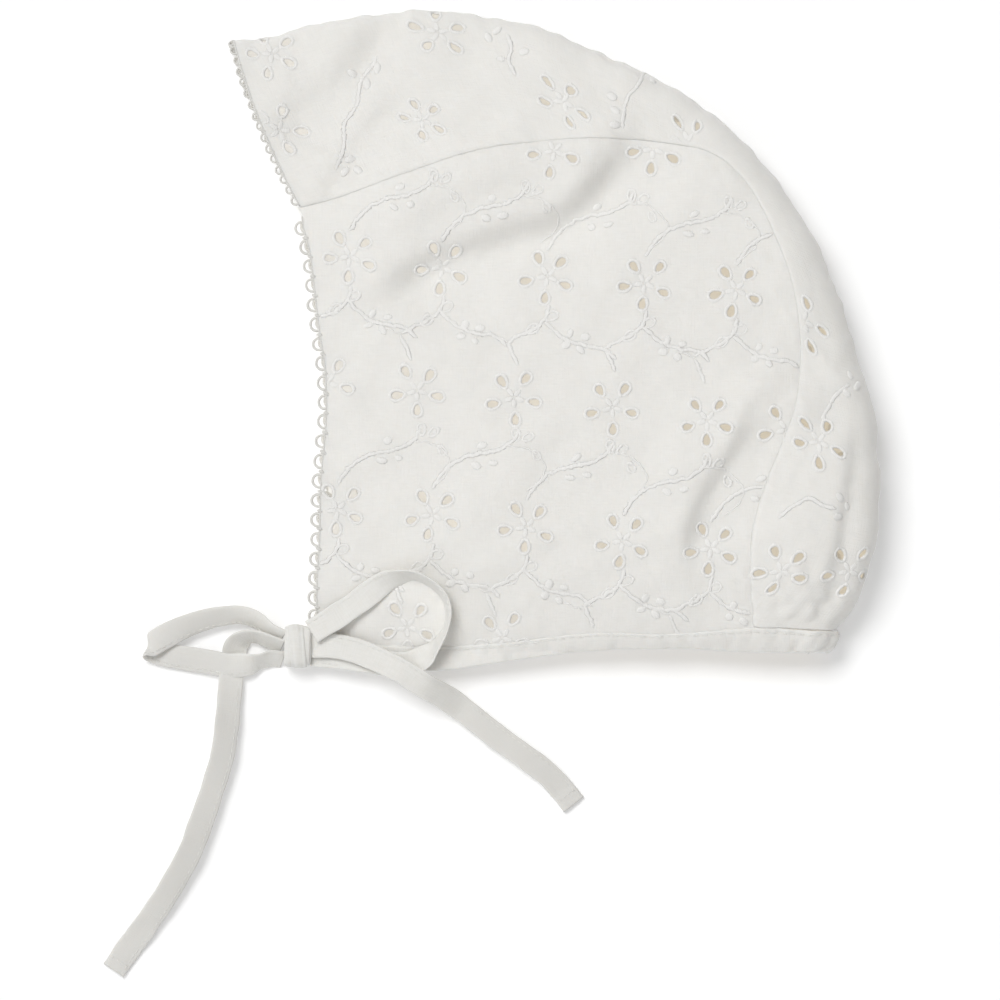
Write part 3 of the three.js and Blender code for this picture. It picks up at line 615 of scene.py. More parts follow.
def thickness(places):
    back = np.clip((places[:, 0] - FACE_X) / (BACK_X - FACE_X), 0, 1)
    along = FRONT_SHARE + (1 - FRONT_SHARE) * np.sin(back * np.pi / 2) ** 0.9
    up = np.clip((places[:, 1] - NECK_Y) / (CROWN_Y - NECK_Y), 0, 1)
    low = (FULLEST - up) / FULLEST
    high = (up - FULLEST) / (1 - FULLEST)
    to_neck = 1 - (1 - NECK_SHARE) * low**NECK_CURVE
    to_crown = 1 - (1 - CROWN_SHARE) * high**CROWN_CURVE
    return BACK_DEPTH * along * np.where(up < FULLEST, to_neck, to_crown)


def rounding(places):
    """0 on the outer fold, 1 where the layer has turned flat."""
    inside = distance_to_line(places, OUTER_FOLD) - ON_FOLD
    share = np.clip(inside / (FOLD_ROUND * thickness(places)), 0, 1)
    return (1 - (1 - share) ** FOLD_SQUARE) ** (1 / FOLD_SQUARE)


def dents(places):
    total = np.zeros(len(places))
    for x1, y1, x2, y2, width, height in DENTS:
        gap = distance_to_line(places, np.array([(x1, y1), (x2, y2)]))
        total += height * np.exp(-((gap / width) ** 2))
    return total


def fold(places, width, drop, line):
    """Height of one fold: up on its left, down on its right, fading out sideways and at both ends."""
    line = smooth(line, np.linspace(0, len(line) - 1, 6 * len(line)))
    gap = np.full(len(places), np.inf)
    side, share = np.zeros((2, len(places)))
    for k, (start, end) in enumerate(zip(line[:-1], line[1:])):
        step = end - start
        along = np.clip((places - start) @ step / (step @ step), 0, 1)
        off = places - start - along[:, None] * step
        far = np.linalg.norm(off, axis=1)
        nearer = far < gap
        gap = np.where(nearer, far, gap)
        side = np.where(nearer, np.sign(step[0] * off[:, 1] - step[1] * off[:, 0]), side)
        share = np.where(nearer, (k + along) / (len(line) - 1), share)
    ends = ease(share / FOLD_ENDS) * ease((1 - share) / FOLD_ENDS)
    return -drop * side * np.tanh(gap / width) * np.exp(-((gap / FOLD_REACH) ** 2)) * ends


def all_folds(places):
    return dents(places) + sum(fold(places * 1000, *row) for row in FOLDS) / 1000


def near_height(places):
    turned = rounding(places)
    level = thickness(places) * (FOLD_LEVEL + (1 - FOLD_LEVEL) * turned)
    return level + all_folds(places) * turned**2


def far_height(places):
    return thickness(places) * FOLD_LEVEL * (1 - rounding(places))


middle_of_side = np.array([(0.0, 0.0), (0.06, -0.04)])
print("upper layer at the middle and the back:", near_height(middle_of_side).round(4))

# %% [markdown]
# ## Cloth that remembers where it was flat
# Embroidery is worked on flat cloth and follows it into every fold. So each piece of cloth here is a
# table that turns a flat place into a place in space and an outward direction. Holes, rims and stems are
# all drawn flat, and the table bends them. Fine crumples are added to the table, so cloth and embroidery
# share them.

# %% A piece of cloth
class Cloth:
    """A grid of places in space, read by flat places; turned is -1 where the grid's back faces outwards."""

    def __init__(self, places, to_cell, turned=1):
        self.places, self.to_cell, self.turned = places, to_cell, turned
        self.lift(np.zeros(places.shape[:2]), np.zeros(3))

    def lift(self, height, direction):
        """Moves each grid place along its direction by its height, and finds the outward directions again."""
        self.places = self.places + direction * height[..., None]
        along_rows, along_columns = (np.gradient(self.places, axis=k) for k in (0, 1))
        self.outward = unit(np.cross(along_columns, along_rows)) * self.turned

    def read(self, flat):
        """Places in space and outward directions of flat places."""
        row, column = self.to_cell(np.asarray(flat, float))
        rows, columns = self.places.shape[:2]
        row, column = np.clip(row, 0, rows - 1.001), np.clip(column, 0, columns - 1.001)
        i, j = row.astype(int), column.astype(int)
        a, b = (row - i)[:, None], (column - j)[:, None]
        blend = [
            ((1 - a) * (1 - b), i, j),
            (a * (1 - b), i + 1, j),
            ((1 - a) * b, i, j + 1),
            (a * b, i + 1, j + 1),
        ]
        place = sum(share * self.places[r, c] for share, r, c in blend)
        outward = unit(sum(share * self.outward[r, c] for share, r, c in blend))
        return place, outward


# %% [markdown]
# A side panel is nearly flat as it lies, so its flat places are simply the places seen from above. The
# near one gets the finest relief too: the waves of washed cotton, small gathers beside the seams, and a
# dip where it is turned into the seam. The far one lies on the table and stays plain.

# %% The two side panels
GRID = 0.0005
PANEL_LOW = np.array([-0.076, -0.094])
PANEL_HIGH = np.array([0.076, 0.064])
SEAM_FINE = seam_line(np.linspace(0, LAST_ROW, 240))
# Each row: height, wave length and seed
WASHED_WAVES = [(0.00008, 0.0045, 23), (0.0003, 0.013, 24), (0.0006, 0.034, 25)]
SEAM_GATHER = 0.00009
BAND_GATHER = 0.00008
PANEL_DIP = 0.0004           # how deep the panel dips into the seam
PANEL_DIP_WIDE = 0.0006


def panel_cloth(height_of, turned):
    xs = np.arange(PANEL_LOW[0], PANEL_HIGH[0], GRID)
    ys = np.arange(PANEL_LOW[1], PANEL_HIGH[1], GRID)
    plan = np.stack(np.meshgrid(xs, ys), axis=-1)
    flat = plan.reshape(-1, 2)
    places = np.concatenate([plan, height_of(flat).reshape(plan.shape[:2])[..., None]], axis=-1)
    return Cloth(places, lambda uv: ((uv[:, 1] - ys[0]) / GRID, (uv[:, 0] - xs[0]) / GRID), turned), flat


def seam_pucker(run, wave, seed):
    """Small even gathers that a seam draws into the cloth beside it."""
    return np.sin(2 * np.pi * run / wave + 1.4 * crumple(np.stack([run, run * 0], 1), wave * 4, seed, 6))


def near_relief(places):
    """Fine relief of the upper layer over a plan place, the same on both sides of the near seam."""
    beside_seam = np.exp(-((distance_to_line(places, SEAM_FINE) / 0.005) ** 2))
    gathers = SEAM_GATHER * seam_pucker(places[:, 0] + 0.4 * places[:, 1], 0.0062, 21) * beside_seam
    return gathers + sum(height * crumple(places, wave, seed) for height, wave, seed in WASHED_WAVES)


def less_at_back(x):
    """The seams lie flatter towards the back of the head."""
    return 1 - 0.6 * ease((x - 0.045) / 0.03)


def near_panel_detail(flat):
    to_seam = distance_to_line(flat, SEAM_FINE)
    to_band = flat[:, 1] - np.interp(flat[:, 0], BAND[:, 0], BAND[:, 1])
    dip = PANEL_DIP * np.exp(-((to_seam / PANEL_DIP_WIDE) ** 2)) * less_at_back(flat[:, 0])
    gather = BAND_GATHER * seam_pucker(flat[:, 0], 0.0071, 22) * np.exp(-np.clip(to_band, 0, 1) / 0.006)
    return near_relief(flat) - dip + gather


near_cloth, plan_places = panel_cloth(near_height, 1)
near_cloth.lift(near_panel_detail(plan_places).reshape(near_cloth.places.shape[:2]), np.array([0, 0, 1.0]))
far_cloth, _ = panel_cloth(far_height, -1)
print("side panel grid:", near_cloth.places.shape[:2])

# %% [markdown]
# The crown strip isn't flat in plan: it starts at the near seam, rolls over the outer fold and comes back
# to the far seam. Its flat places are therefore the run along the strip, from the peak to the nape, and
# the run across it, which is 0 on the fold, below 0 on the near side and above 0 on the far side.

# %% Sections of the crown strip
STRIP_ROWS = 340
STRIP_SIDE = 60              # grid columns on each side of the fold


def strip_half(rows, inset, height_of):
    """Sections from the outer fold to the seam, even in length, and the length of each."""
    turn = np.linspace(0, np.pi / 2, 40)
    flat_part = np.linspace(0, 1, 40)[1:]
    fold, seam = fold_line(rows), seam_line(rows)
    seam[:, 0] += inset * (1 - ease(rows / 3))
    length = np.linalg.norm(seam - fold, axis=1)
    round_part = np.minimum(FOLD_ROUND * thickness(fold), length * 0.9)[:, None]
    rounded, straight = round_part * (1 - np.cos(turn)), (length[:, None] - round_part) * flat_part
    along = np.hstack([rounded, round_part + straight]) / length[:, None]
    plan = fold[:, None] + (seam - fold)[:, None] * along[..., None]
    bow = FACE_BOW * (1 - ease(rows / FACE_BOW_ROWS))
    plan[..., 0] -= bow[:, None] * 4 * along * (1 - along)
    height = height_of(plan.reshape(-1, 2)).reshape(plan.shape[:2])
    sections = np.concatenate([plan, height[..., None]], axis=-1)
    even = np.empty((len(rows), STRIP_SIDE + 1, 3))
    reach = np.empty(len(rows))
    for i, section in enumerate(sections):
        run = run_length(section)
        reach[i] = run[-1]
        at = np.linspace(0, run[-1], STRIP_SIDE + 1)
        even[i] = np.stack([np.interp(at, run, section[:, k]) for k in range(3)], axis=1)
    return even, reach


strip_rows = np.linspace(0, LAST_ROW, STRIP_ROWS + 1)
near_half, near_reach = strip_half(strip_rows, 0, near_height)
far_half, far_reach = strip_half(strip_rows, FAR_INSET, far_height)
strip_places = np.concatenate([near_half[:, ::-1], far_half[:, 1:]], axis=1)
strip_run = run_length(strip_places[:, STRIP_SIDE // 2])


def strip_cell(flat):
    row = np.interp(flat[:, 0], strip_run, np.arange(STRIP_ROWS + 1))
    at = np.arange(STRIP_ROWS + 1)
    reach = np.where(flat[:, 1] < 0, np.interp(row, at, near_reach), np.interp(row, at, far_reach))
    return row, (flat[:, 1] / reach + 1) * STRIP_SIDE


strip_cloth = Cloth(strip_places, strip_cell, -1)
print("strip length:", round(strip_run[-1], 4), "m, widest near side:", round(near_reach.max(), 4), "m")

# %% [markdown]
# The strip shares the fine relief of the panel, so nothing jumps at the seam. Its own details are a dip
# into the seam, the low step of the seam allowance beside it, crinkles along the outer fold, and the
# gathers where the neck band draws it together. Close to the band all of them fade, because there the
# stitches hold the cloth.

# %% Relief of the crown strip
FACES_UP = 0.6               # an outward direction with more z than this counts as facing up
STRIP_DIP = 0.0003
STRIP_DIP_WIDE = 0.0005
ALLOWANCE_HIGH = 0.0002
ALLOWANCE_WIDE = 0.006
NAPE_GATHER = 0.0005
NAPE_CRUMPLE = 0.0004
NAPE_REACH = 0.014           # how far up the strip the neck band can be felt
FOLD_CRINKLE = 0.0003
HELD = 0.0035                # the stitches of the band hold the cloth this far


def strip_detail(across, to_near_seam, to_nape):
    """Height over the smooth form of every place of the strip's grid."""
    shape = across.shape
    x, plan = strip_places[..., 0], strip_places[..., :2].reshape(-1, 2)
    on_side = (1 - ease(strip_cloth.outward[..., 2] / FACES_UP)) * np.exp(-((to_nape / NAPE_REACH) ** 2))
    relief = near_relief(plan).reshape(shape) * (1 - on_side)
    dip = STRIP_DIP * np.exp(-((to_near_seam / STRIP_DIP_WIDE) ** 2)) * less_at_back(x)
    allowance = ease(to_near_seam / 0.0008) * (1 - ease((to_near_seam - ALLOWANCE_WIDE) / 0.002))
    gather = NAPE_GATHER * seam_pucker(across.ravel(), 0.0061, 32).reshape(shape)
    gather = gather * np.exp(-to_nape / 0.008) * ease((x - 0.058) / 0.016)
    crushed = NAPE_CRUMPLE * crumple(plan, 0.0055, 33).reshape(shape) * np.exp(-to_nape / NAPE_REACH)
    crinkle = FOLD_CRINKLE * crumple(plan, 0.0075, 34).reshape(shape) * np.exp(-((across / 0.011) ** 2))
    loose = (gather + crushed + crinkle) * ease(to_nape / HELD)
    return relief - dip + ALLOWANCE_HIGH * allowance + loose


grid_run = np.repeat(strip_run[:, None], 2 * STRIP_SIDE + 1, axis=1)
share = np.linspace(-1, 1, 2 * STRIP_SIDE + 1)
grid_across = np.where(share < 0, near_reach[:, None] * share, far_reach[:, None] * share)
detail = strip_detail(grid_across, grid_across + near_reach[:, None], strip_run[-1] - grid_run)
strip_cloth.lift(detail * ease((far_reach[:, None] - grid_across) / 0.004), strip_cloth.outward)
strip_cloth.places[..., 2] = np.maximum(strip_cloth.places[..., 2], 0.0001)
print("outward at the crown:", strip_cloth.outward[STRIP_ROWS // 2, STRIP_SIDE // 3].round(2))

# %% [markdown]
# ## Where the flowers are
# The cotton is embroidered with rows of flowers, each of five petals round an eyelet, and with vines
# between the rows. Their middles are read from the picture. A petal is a small hole like a drop, narrow
# towards the middle of its flower. A petal too near the edge of its piece was caught in the seam, so it
# keeps no hole.

# %% Flowers and petals
# Rows of flowers on the side panel: direction of the first petal in degrees, 1 where a vine grows from each
# flower, and the flowers' middles in millimetres
PANEL_ROWS = [
    (118, 0, [(0.4, 53.2), (28.1, 53.8)]),
    (118, 1, [(-56.7, 23.8), (-30.9, 20.7), (-1.5, 18.2), (25.6, 16.2), (51.1, 14.3)]),
    (126, 0, [(-62.9, -11.5), (-37.9, -13.7), (-10.8, -15.7), (16.7, -18.5), (43.0, -22.1), (65.1, -24.6)]),
    (118, 1, [(-60.1, -47.0), (-33.7, -48.4), (-7.4, -51.8), (19.5, -55.7), (44.1, -57.7)]),
    (126, 0, [(-40.6, -79.8), (-14.1, -82.8)]),
]
# Flowers on the strip: x and y in millimetres, direction of the first petal in degrees, size
STRIP_FLOWERS = [
    (-78.5, 80.6, 110, 1.0),
    (-76.3, 59.1, 140, 1.0),
    (-32.0, 86.5, 160, 1.0),
    (-36.3, 61.9, 118, 0.85),
    (2.9, 66.9, 122, 1.0),
    (37.7, 55.7, 130, 1.0),
    (70.0, 5.6, 73, 1.0),
    (74.1, -28.0, 112, 1.0),
    (63.7, -64.1, 126, 1.0),
    (82.7, -64.1, 118, 1.0),
]
MM = 0.001
PETALS = 5
PETAL_REACH = 0.0057         # middle of a petal's hole from the middle of its flower
PETAL_LONG = 0.0031          # length and width of its hole
PETAL_WIDE = 0.0019
PETAL_MARGIN = 0.0022        # least distance from a hole's middle to the edge of its piece
RIM_WIDE = 0.0011
RIM_PROUD = 0.0002           # how far a satin rim stands out of the cloth


def turned_by(places, degrees):
    c, s = np.cos(np.radians(degrees)), np.sin(np.radians(degrees))
    return np.asarray(places, float) @ np.array([[c, s], [-s, c]])


def petal_outline(middle, degrees, grow, size=1.0, points=18):
    """A drop round a petal's middle, its narrow end towards the flower; grow makes it larger all round."""
    turn = np.linspace(0, 2 * np.pi, points, endpoint=False)
    along = np.cos(turn) * (PETAL_LONG * size + grow) / 2
    across = np.sin(turn) * (PETAL_WIDE * size + grow) / 2 * (1 + 0.22 * np.cos(turn))
    return middle + turned_by(np.stack([along, across], axis=1), degrees)


def is_inside(places, outline):
    inside = np.zeros(len(places), bool)
    x, y = places.T
    for (ax, ay), (bx, by) in zip(outline, np.roll(outline, -1, axis=0)):
        if ay != by:
            inside ^= ((ay > y) != (by > y)) & (x < ax + (y - ay) / (by - ay) * (bx - ax))
    return inside


def room(places, outline):
    """Distance to the outline, below 0 outside it."""
    gap = distance_to_line(places, np.vstack([outline, outline[:1]]))
    return np.where(is_inside(places, outline), gap, -gap)


# %% [markdown]
# The cut edges follow the seams, and a little more cloth goes under the strip and the band, as a seam
# allowance does. Each piece's outline is drawn in its own flat places: from above for the panels, along
# and across for the strip.

# %% Outlines of the flat pieces
UNDER_SEAM = 0.0004          # the side panel runs on under the strip
UNDER_BAND = 0.0022          # and under the neck band
EDGE_IN = 0.0017             # the cloth ends this far inside the face line, for the thread loops

face_line = smooth(FACE_EDGE, np.linspace(0, len(FACE_EDGE) - 1, 120))
face_line[:, 0] += EDGE_IN * np.clip((face_line[-1, 1] - face_line[:, 1]) / 0.012, 0.5, 1)
seam_part = SEAM_FINE + UNDER_SEAM * unit(fold_line(np.linspace(0, LAST_ROW, 240)) - SEAM_FINE)
band_top = smooth(BAND[:, :2], np.linspace(len(BAND) - 2, 0, 100))
panel_outline = np.vstack([face_line[:-1], seam_part, band_top - (0, UNDER_BAND)])[::-1]
far_outline = np.vstack([face_line[:-1] + (FAR_INSET, 0), SEAM_FINE, band_top])[::-1]
from_face = np.maximum(strip_run, EDGE_IN / 2)
strip_outline = np.vstack([
    np.stack([from_face, -near_reach], axis=1),
    np.stack([from_face, far_reach], axis=1)[::-1],
])
for name, outline in (("side panel:", panel_outline), ("strip:", strip_outline)):
    print(name, np.ptp(outline, axis=0).round(4), "m")

# %% [markdown]
# The flowers of the near side are placed where the picture shows them. On the strip a place seen from
# above has to be turned into a flat place first. The hidden side isn't in the picture: its panel gets the
# same rows, moved half a step on, and its half of the strip gets flowers at even steps.

# %% Flowers laid out on each piece
FAR_PANEL_SHIFT = (0.0135, 0.004)
FAR_PANEL_REACH = 0.06       # rows further up or down than this are left out there
FAR_FLOWER_STEP = 0.027


def flat_on_strip(place):
    """Flat place on the strip's near side under a place seen from above, and the direction of its run."""
    near = strip_cloth.places[:, : STRIP_SIDE + 1, :2]
    row, column = np.unravel_index(((near - place) ** 2).sum(-1).argmin(), near.shape[:2])
    ahead = near[min(row + 2, STRIP_ROWS), column] - near[max(row - 2, 0), column]
    run_turn = np.degrees(np.arctan2(ahead[1], ahead[0]))
    flat = np.array([strip_run[row], near_reach[row] * (column / STRIP_SIDE - 1)])
    return flat + turned_by([place - near[row, column]], -run_turn)[0], run_turn


# A laid flower: its flat middle, direction of the first petal, size, and 1 for a vine
panel_flowers = [(np.array(at) * MM, turn, 1.0, vine) for turn, vine, row in PANEL_ROWS for at in row]
strip_flowers = []
for x, y, turn, size in STRIP_FLOWERS:
    place, run_turn = flat_on_strip(np.array((x, y)) * MM)
    strip_flowers.append((place, turn - run_turn, size, 0))
for k, run in enumerate(np.arange(0.018, strip_run[-1] - 0.01, FAR_FLOWER_STEP)):
    strip_flowers.append((np.array([run, 0.013 + 0.006 * (k % 2)]), 118, 1.0, 0))
far_flowers = [
    (middle + FAR_PANEL_SHIFT, -turn, size, 0)
    for middle, turn, size, _ in panel_flowers
    if abs(middle[1]) < FAR_PANEL_REACH
]


def petals_of(flowers, outline):
    """Every petal of a piece: its middle, its direction, its size and its distance from the piece's edge."""
    found = []
    rng = np.random.default_rng(17)
    for middle, turn, size, _ in flowers:
        for k in range(PETALS):
            direction = turn - 360 / PETALS * k + rng.uniform(-5, 5)
            place = middle + turned_by([(PETAL_REACH * size * rng.uniform(0.93, 1.08), 0)], direction)[0]
            found.append((place, direction + rng.uniform(-8, 8), size * rng.uniform(0.9, 1.1)))
    gaps = room(np.array([f[0] for f in found]), outline)
    return [(*petal, gap) for petal, gap in zip(found, gaps) if gap > 0.0002]


petals = {
    "panel": petals_of(panel_flowers, panel_outline),
    "strip": petals_of(strip_flowers, strip_outline),
    "far": petals_of(far_flowers, far_outline),
}
print({name: len(found) for name, found in petals.items()})

# %% [markdown]
# ## Cutting the cloth
# Each piece is filled with an even net of triangles by a constrained triangulation, which keeps the cut
# edge and every eyelet as exact lines. Triangles inside an eyelet are thrown away. The flat net is bent
# by its table, and Solidify gives it the thickness of the cotton, with a second material on the inner
# side.

# %% The net of points
def even_net(outline, spacing):
    """Points at the corners of even triangles all over the outline's box."""
    low, high = outline.min(0), outline.max(0)
    ys = np.arange(low[1], high[1], spacing * 0.866)
    xs = np.arange(low[0], high[0], spacing)
    net = np.stack(np.meshgrid(xs, ys), axis=-1)
    net[1::2, :, 0] += spacing / 2
    return net.reshape(-1, 2)


def net_inside(outline, edge, holes, spacing):
    """The net's points that are clear of the edge and of the holes, with two closer rows along the edge."""
    net = even_net(outline, spacing)
    net = net[room(net, edge) > spacing * 1.05]
    inward = unit(np.roll(edge, -1, axis=0) - np.roll(edge, 1, axis=0))[:, ::-1] * (-1, 1)
    for step in (0.3, 0.7):
        row = edge + inward * step * spacing
        net = np.vstack([net, row[room(row, edge) > step * spacing * 0.9]])
    for hole in holes:
        close = np.flatnonzero(np.abs(net - hole.mean(0)).max(1) < PETAL_LONG)
        net = np.delete(net, close[room(net[close], hole) > -spacing * 0.35], axis=0)
    return net


# %% [markdown]
# The triangulation has to keep every edge of the outline and of the eyelets, so these are handed over as
# closed loops of edges. It works in millimetres, because its tolerance is meant for sizes near one. A
# triangle whose three corners lie on the same eyelet fills that eyelet and is left out.

# %% Cut a piece
def cut_cloth(name, cloth, outline, holes, spacing):
    """The piece as a closed sheet of the cotton's thickness, and its flat area."""
    edge = even_points(np.vstack([outline, outline[:1]]), spacing)[:-1]
    net = net_inside(outline, edge, holes, spacing)
    loops = [edge, *holes]
    places = np.vstack([*loops, net])
    owner = np.concatenate([np.full(len(loop), k) for k, loop in enumerate(loops)] + [np.full(len(net), -1)])
    edges = []
    start = 0
    for loop in loops:
        edges += [(start + k, start + (k + 1) % len(loop)) for k in range(len(loop))]
        start += len(loop)
    fine, _, faces, came_from, _, _ = delaunay_2d_cdt([tuple(p) for p in places * 1000], edges, [], 0, 1e-6)
    flat = np.array([tuple(p) for p in fine]) / 1000
    owner = np.array([owner[ids[0]] if ids else -1 for ids in came_from])
    faces = np.array(faces)
    a, b, c = (flat[faces[:, k]] for k in range(3))
    area = (b[:, 0] - a[:, 0]) * (c[:, 1] - a[:, 1]) - (b[:, 1] - a[:, 1]) * (c[:, 0] - a[:, 0])
    in_hole = (owner[faces] > 0).all(1) & (np.ptp(owner[faces], axis=1) == 0)
    kept = ~in_hole & is_inside((a + b + c) / 3, edge) & (np.abs(area) > 1e-12)
    faces = np.where(area[:, None] < 0, faces[:, ::-1], faces)[kept]
    if cloth is far_cloth:       # its outer side looks down
        faces = faces[:, ::-1]
    used, faces = np.unique(faces, return_inverse=True)
    made = cloth_object(name, cloth.read(flat[used])[0], faces.reshape(-1, 3).tolist(), flat[used])
    for _ in range(2):
        made.data.materials.append(None)
    apply_modifier(made, "SOLIDIFY", thickness=CLOTH, offset=-1, material_offset=1)
    flat_area = float(np.abs(area[kept]).sum() / 2)
    print(name, len(made.data.polygons), "faces,", len(holes), "holes,", round(flat_area, 5), "m2 of cloth")
    return made, flat_area


NET = 0.0010                 # spacing of the net
FAR_NET = 0.0015             # coarser where nobody looks


def holes_of(name):
    return [petal_outline(p[0], p[1], 0, p[2]) for p in petals[name] if p[3] > PETAL_MARGIN]


near_panel, near_area = cut_cloth("near_panel_cloth", near_cloth, panel_outline, holes_of("panel"), NET)
far_panel, far_area = cut_cloth("far_panel_cloth", far_cloth, far_outline, holes_of("far"), FAR_NET)
strip, strip_area = cut_cloth("crown_strip_cloth", strip_cloth, strip_outline, holes_of("strip"), NET)

# %% [markdown]
# Each of the three pieces rides on the bonnet and stands for its plain solid, which is hidden. The near
# panel rests on the far one, and the strip is folded round them.

for piece, node in ((near_panel, "near_side_panel"), (far_panel, "far_side_panel"), (strip, "crown_strip")):
    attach(piece, "root")
    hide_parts(node)

# %% [markdown]
# ## The embroidery
# Satin stitch lies over the cut edge of every eyelet as a raised rim, seen from both sides. The vines are
# thin stems with raised dots, small outlined leaves and lines of running stitch. All of it is thread laid
# on the cloth by its table: a flat line, a width and a height.

# %% Thread laid on cloth
STITCH_STEP = 0.0013         # from one overcast stitch of a stem to the next


def lay_thread(bundle, cloth, line, width, height, sink=0.0, closed=False, sides=6, uneven=0.0):
    """A rounded thread along a flat line; sink lowers it, and uneven swells it from stitch to stitch."""
    place, outward = cloth.read(line)
    ahead = np.roll(place, -1, axis=0) - np.roll(place, 1, axis=0) if closed else np.gradient(place, axis=0)
    side = unit(np.cross(unit(ahead), outward))
    turn = np.linspace(0, 2 * np.pi, sides, endpoint=False)
    run = run_length(place)
    ends = 1.0 if closed else np.clip(np.minimum(run, run[-1] - run) / (0.8 * width), 0.12, 1) ** 0.5
    stitches = np.sin(2 * np.pi * run / STITCH_STEP + 2 * crumple(line, 0.006, 54, 6))
    size = ends * (1 + uneven * (crumple(line, 0.0017, 53, 8) + 0.6 * stitches))
    rings = place[:, None] - outward[:, None] * sink
    rings = rings + side[:, None] * (np.cos(turn) * width / 2)[:, None] * size[:, None, None]
    rings = rings + outward[:, None] * (np.sin(turn) * height / 2)[:, None] * size[:, None, None]
    bundle.loft(rings, closed=closed)


def kept_runs(line, outline, margin):
    """The stretches of a flat line that lie inside the outline by the margin."""
    good = room(line, outline) > margin
    cuts = np.flatnonzero(np.diff(good.astype(int))) + 1
    return [run for run, ok in zip(np.split(line, cuts), good[np.r_[0, cuts]]) if ok and len(run) > 3]


# %% [markdown]
# One vine grows from each flower of two rows. It is given once, in millimetres from the middle of its
# flower, and laid again at every flower, a little larger or smaller each time, as hand work would be.
# Where it would run off the cloth it is cut off.

# %% The vine between two rows
STEM_WIDE = 0.0012           # width and height of an overcast stem
STEM_HIGH = 0.00036
FINE_WIDE = 0.0005           # of a line of running stitch
FINE_HIGH = 0.0003
LEAF_WIDE = 0.0008           # of the thread round a leaf
LEAF_HIGH = 0.00036
DOT_HIGH = 0.6               # in millimetres
STEM_UNEVEN = 0.26
# Each line: x and y in millimetres from the flower's middle
STEMS = [
    [(0.0, 7.0), (2.2, 10.6), (5.6, 14.0), (10.6, 16.2), (16.8, 17.4), (21.8, 19.9), (24.1, 23.5)],
    [(0.6, -7.8), (-0.6, -11.8), (-3.9, -14.8), (-8.4, -16.8), (-11.2, -18.5)],
    [(-11.2, -18.5), (-9.8, -21.8), (-8.4, -25.2)],
    [(-0.6, -12.3), (3.4, -16.0), (6.7, -17.9), (11.2, -19.0), (15.1, -19.6), (18.5, -22.4)],
]
RUNNING = [
    [(21.8, 19.9), (28.0, 19.0), (32.5, 14.6), (31.4, 10.1), (27.4, 6.7)],
    [(-11.2, -18.5), (-14.0, -17.4), (-16.2, -16.8)],
]
# Each row: x and y from the flower's middle, direction in degrees, length and width, all in millimetres
LEAVES = [
    (1.1, -11.2, 20, 3.9, 2.3),
    (-4.2, -14.8, 35, 3.9, 2.3),
    (23.5, 22.4, 100, 3.4, 2.1),
    (26.8, 21.6, 35, 3.2, 2.0),
    (29.2, 16.6, -60, 2.9, 1.8),
]
DOTS = [
    (14.0, 19.3, 25, 2.7, 1.8),
    (12.3, 13.7, -15, 2.7, 1.8),
    (17.0, 14.4, 10, 2.6, 1.7),
    (6.4, -16.0, 60, 2.4, 1.9),
    (5.2, -19.2, 10, 2.4, 1.9),
    (9.2, -20.6, -50, 2.4, 1.9),
    (10.6, -17.0, 0, 2.4, 1.8),
]
LINES = [(line, STEM_WIDE, STEM_HIGH) for line in STEMS] + [(line, FINE_WIDE, FINE_HIGH) for line in RUNNING]


def lay_dot(bundle, cloth, spot, degrees, size):
    """One raised dot or leaf, lying along a direction on the cloth."""
    ahead = spot + turned_by([(0.0005, 0)], degrees)[0]
    at, outward = cloth.read(np.array([spot, ahead]))
    bundle.copy(DOT, at[:1], unit(at[1:] - at[:1]), outward[:1], np.array([size]))


def lay_vine(bundle, cloth, outline, middle, turn, rng):
    """Stems, running stitch, outlined leaves and raised dots of one flower's vine."""
    def place(table):
        return middle + turned_by(np.asarray(table, float) * MM * rng.uniform(0.96, 1.04), turn)

    for table, width, height in LINES:
        line = even_points(smooth(place(table), np.linspace(0, len(table) - 1, 30)), 0.00036)
        line = line + np.stack([crumple(line, 0.003, 51), crumple(line, 0.003, 52)], axis=1) * 0.00022
        for run in kept_runs(line, outline, 0.0004):
            lay_thread(bundle, cloth, run, width, height, 0.00002, uneven=STEM_UNEVEN)
    for x, y, lean, length, width in LEAVES:
        t = np.linspace(0, 2 * np.pi, 28, endpoint=False)
        oval = np.stack([np.cos(t) * length / 2, np.sin(t) * width / 2 * (1 + 0.25 * np.cos(t))], axis=1)
        oval = middle + turned_by((turned_by(oval, lean + rng.uniform(-9, 9)) + (x, y)) * MM, turn)
        if (room(oval, outline) > 0.0004).all():
            lay_thread(bundle, cloth, oval, LEAF_WIDE, LEAF_HIGH, 0.00005, closed=True, uneven=0.35)
    spots = np.array([row[:2] for row in DOTS]) * MM
    spots = middle + turned_by(spots, turn)
    inside = room(spots, outline) > 0.0012
    for (x, y, lean, length, width), spot in zip(np.array(DOTS)[inside], spots[inside]):
        size = np.array([length, width, DOT_HIGH]) * MM * rng.uniform(0.9, 1.3, 3)
        lay_dot(bundle, cloth, spot, turn + lean + rng.uniform(-15, 15), size)


# %% [markdown]
# A flower has a small satin star in its middle and a raised rim round each petal. A rim goes over the cut
# edge, so it is as thick as the cloth and a little more. Where a petal is caught in a seam, only the part
# of its rim on the cloth is worked, and no eyelet is cut. The strip's own sprigs follow the picture.

# %% Flowers in satin stitch
STAR_REACH = 0.0017          # middle of a star's leaf from the middle of the flower
STAR_LEAF = (0.0026, 0.0014, 0.0003)
RIM_UNEVEN = 0.16
SPRIG_DOT = (2.9, 1.9, 0.75)


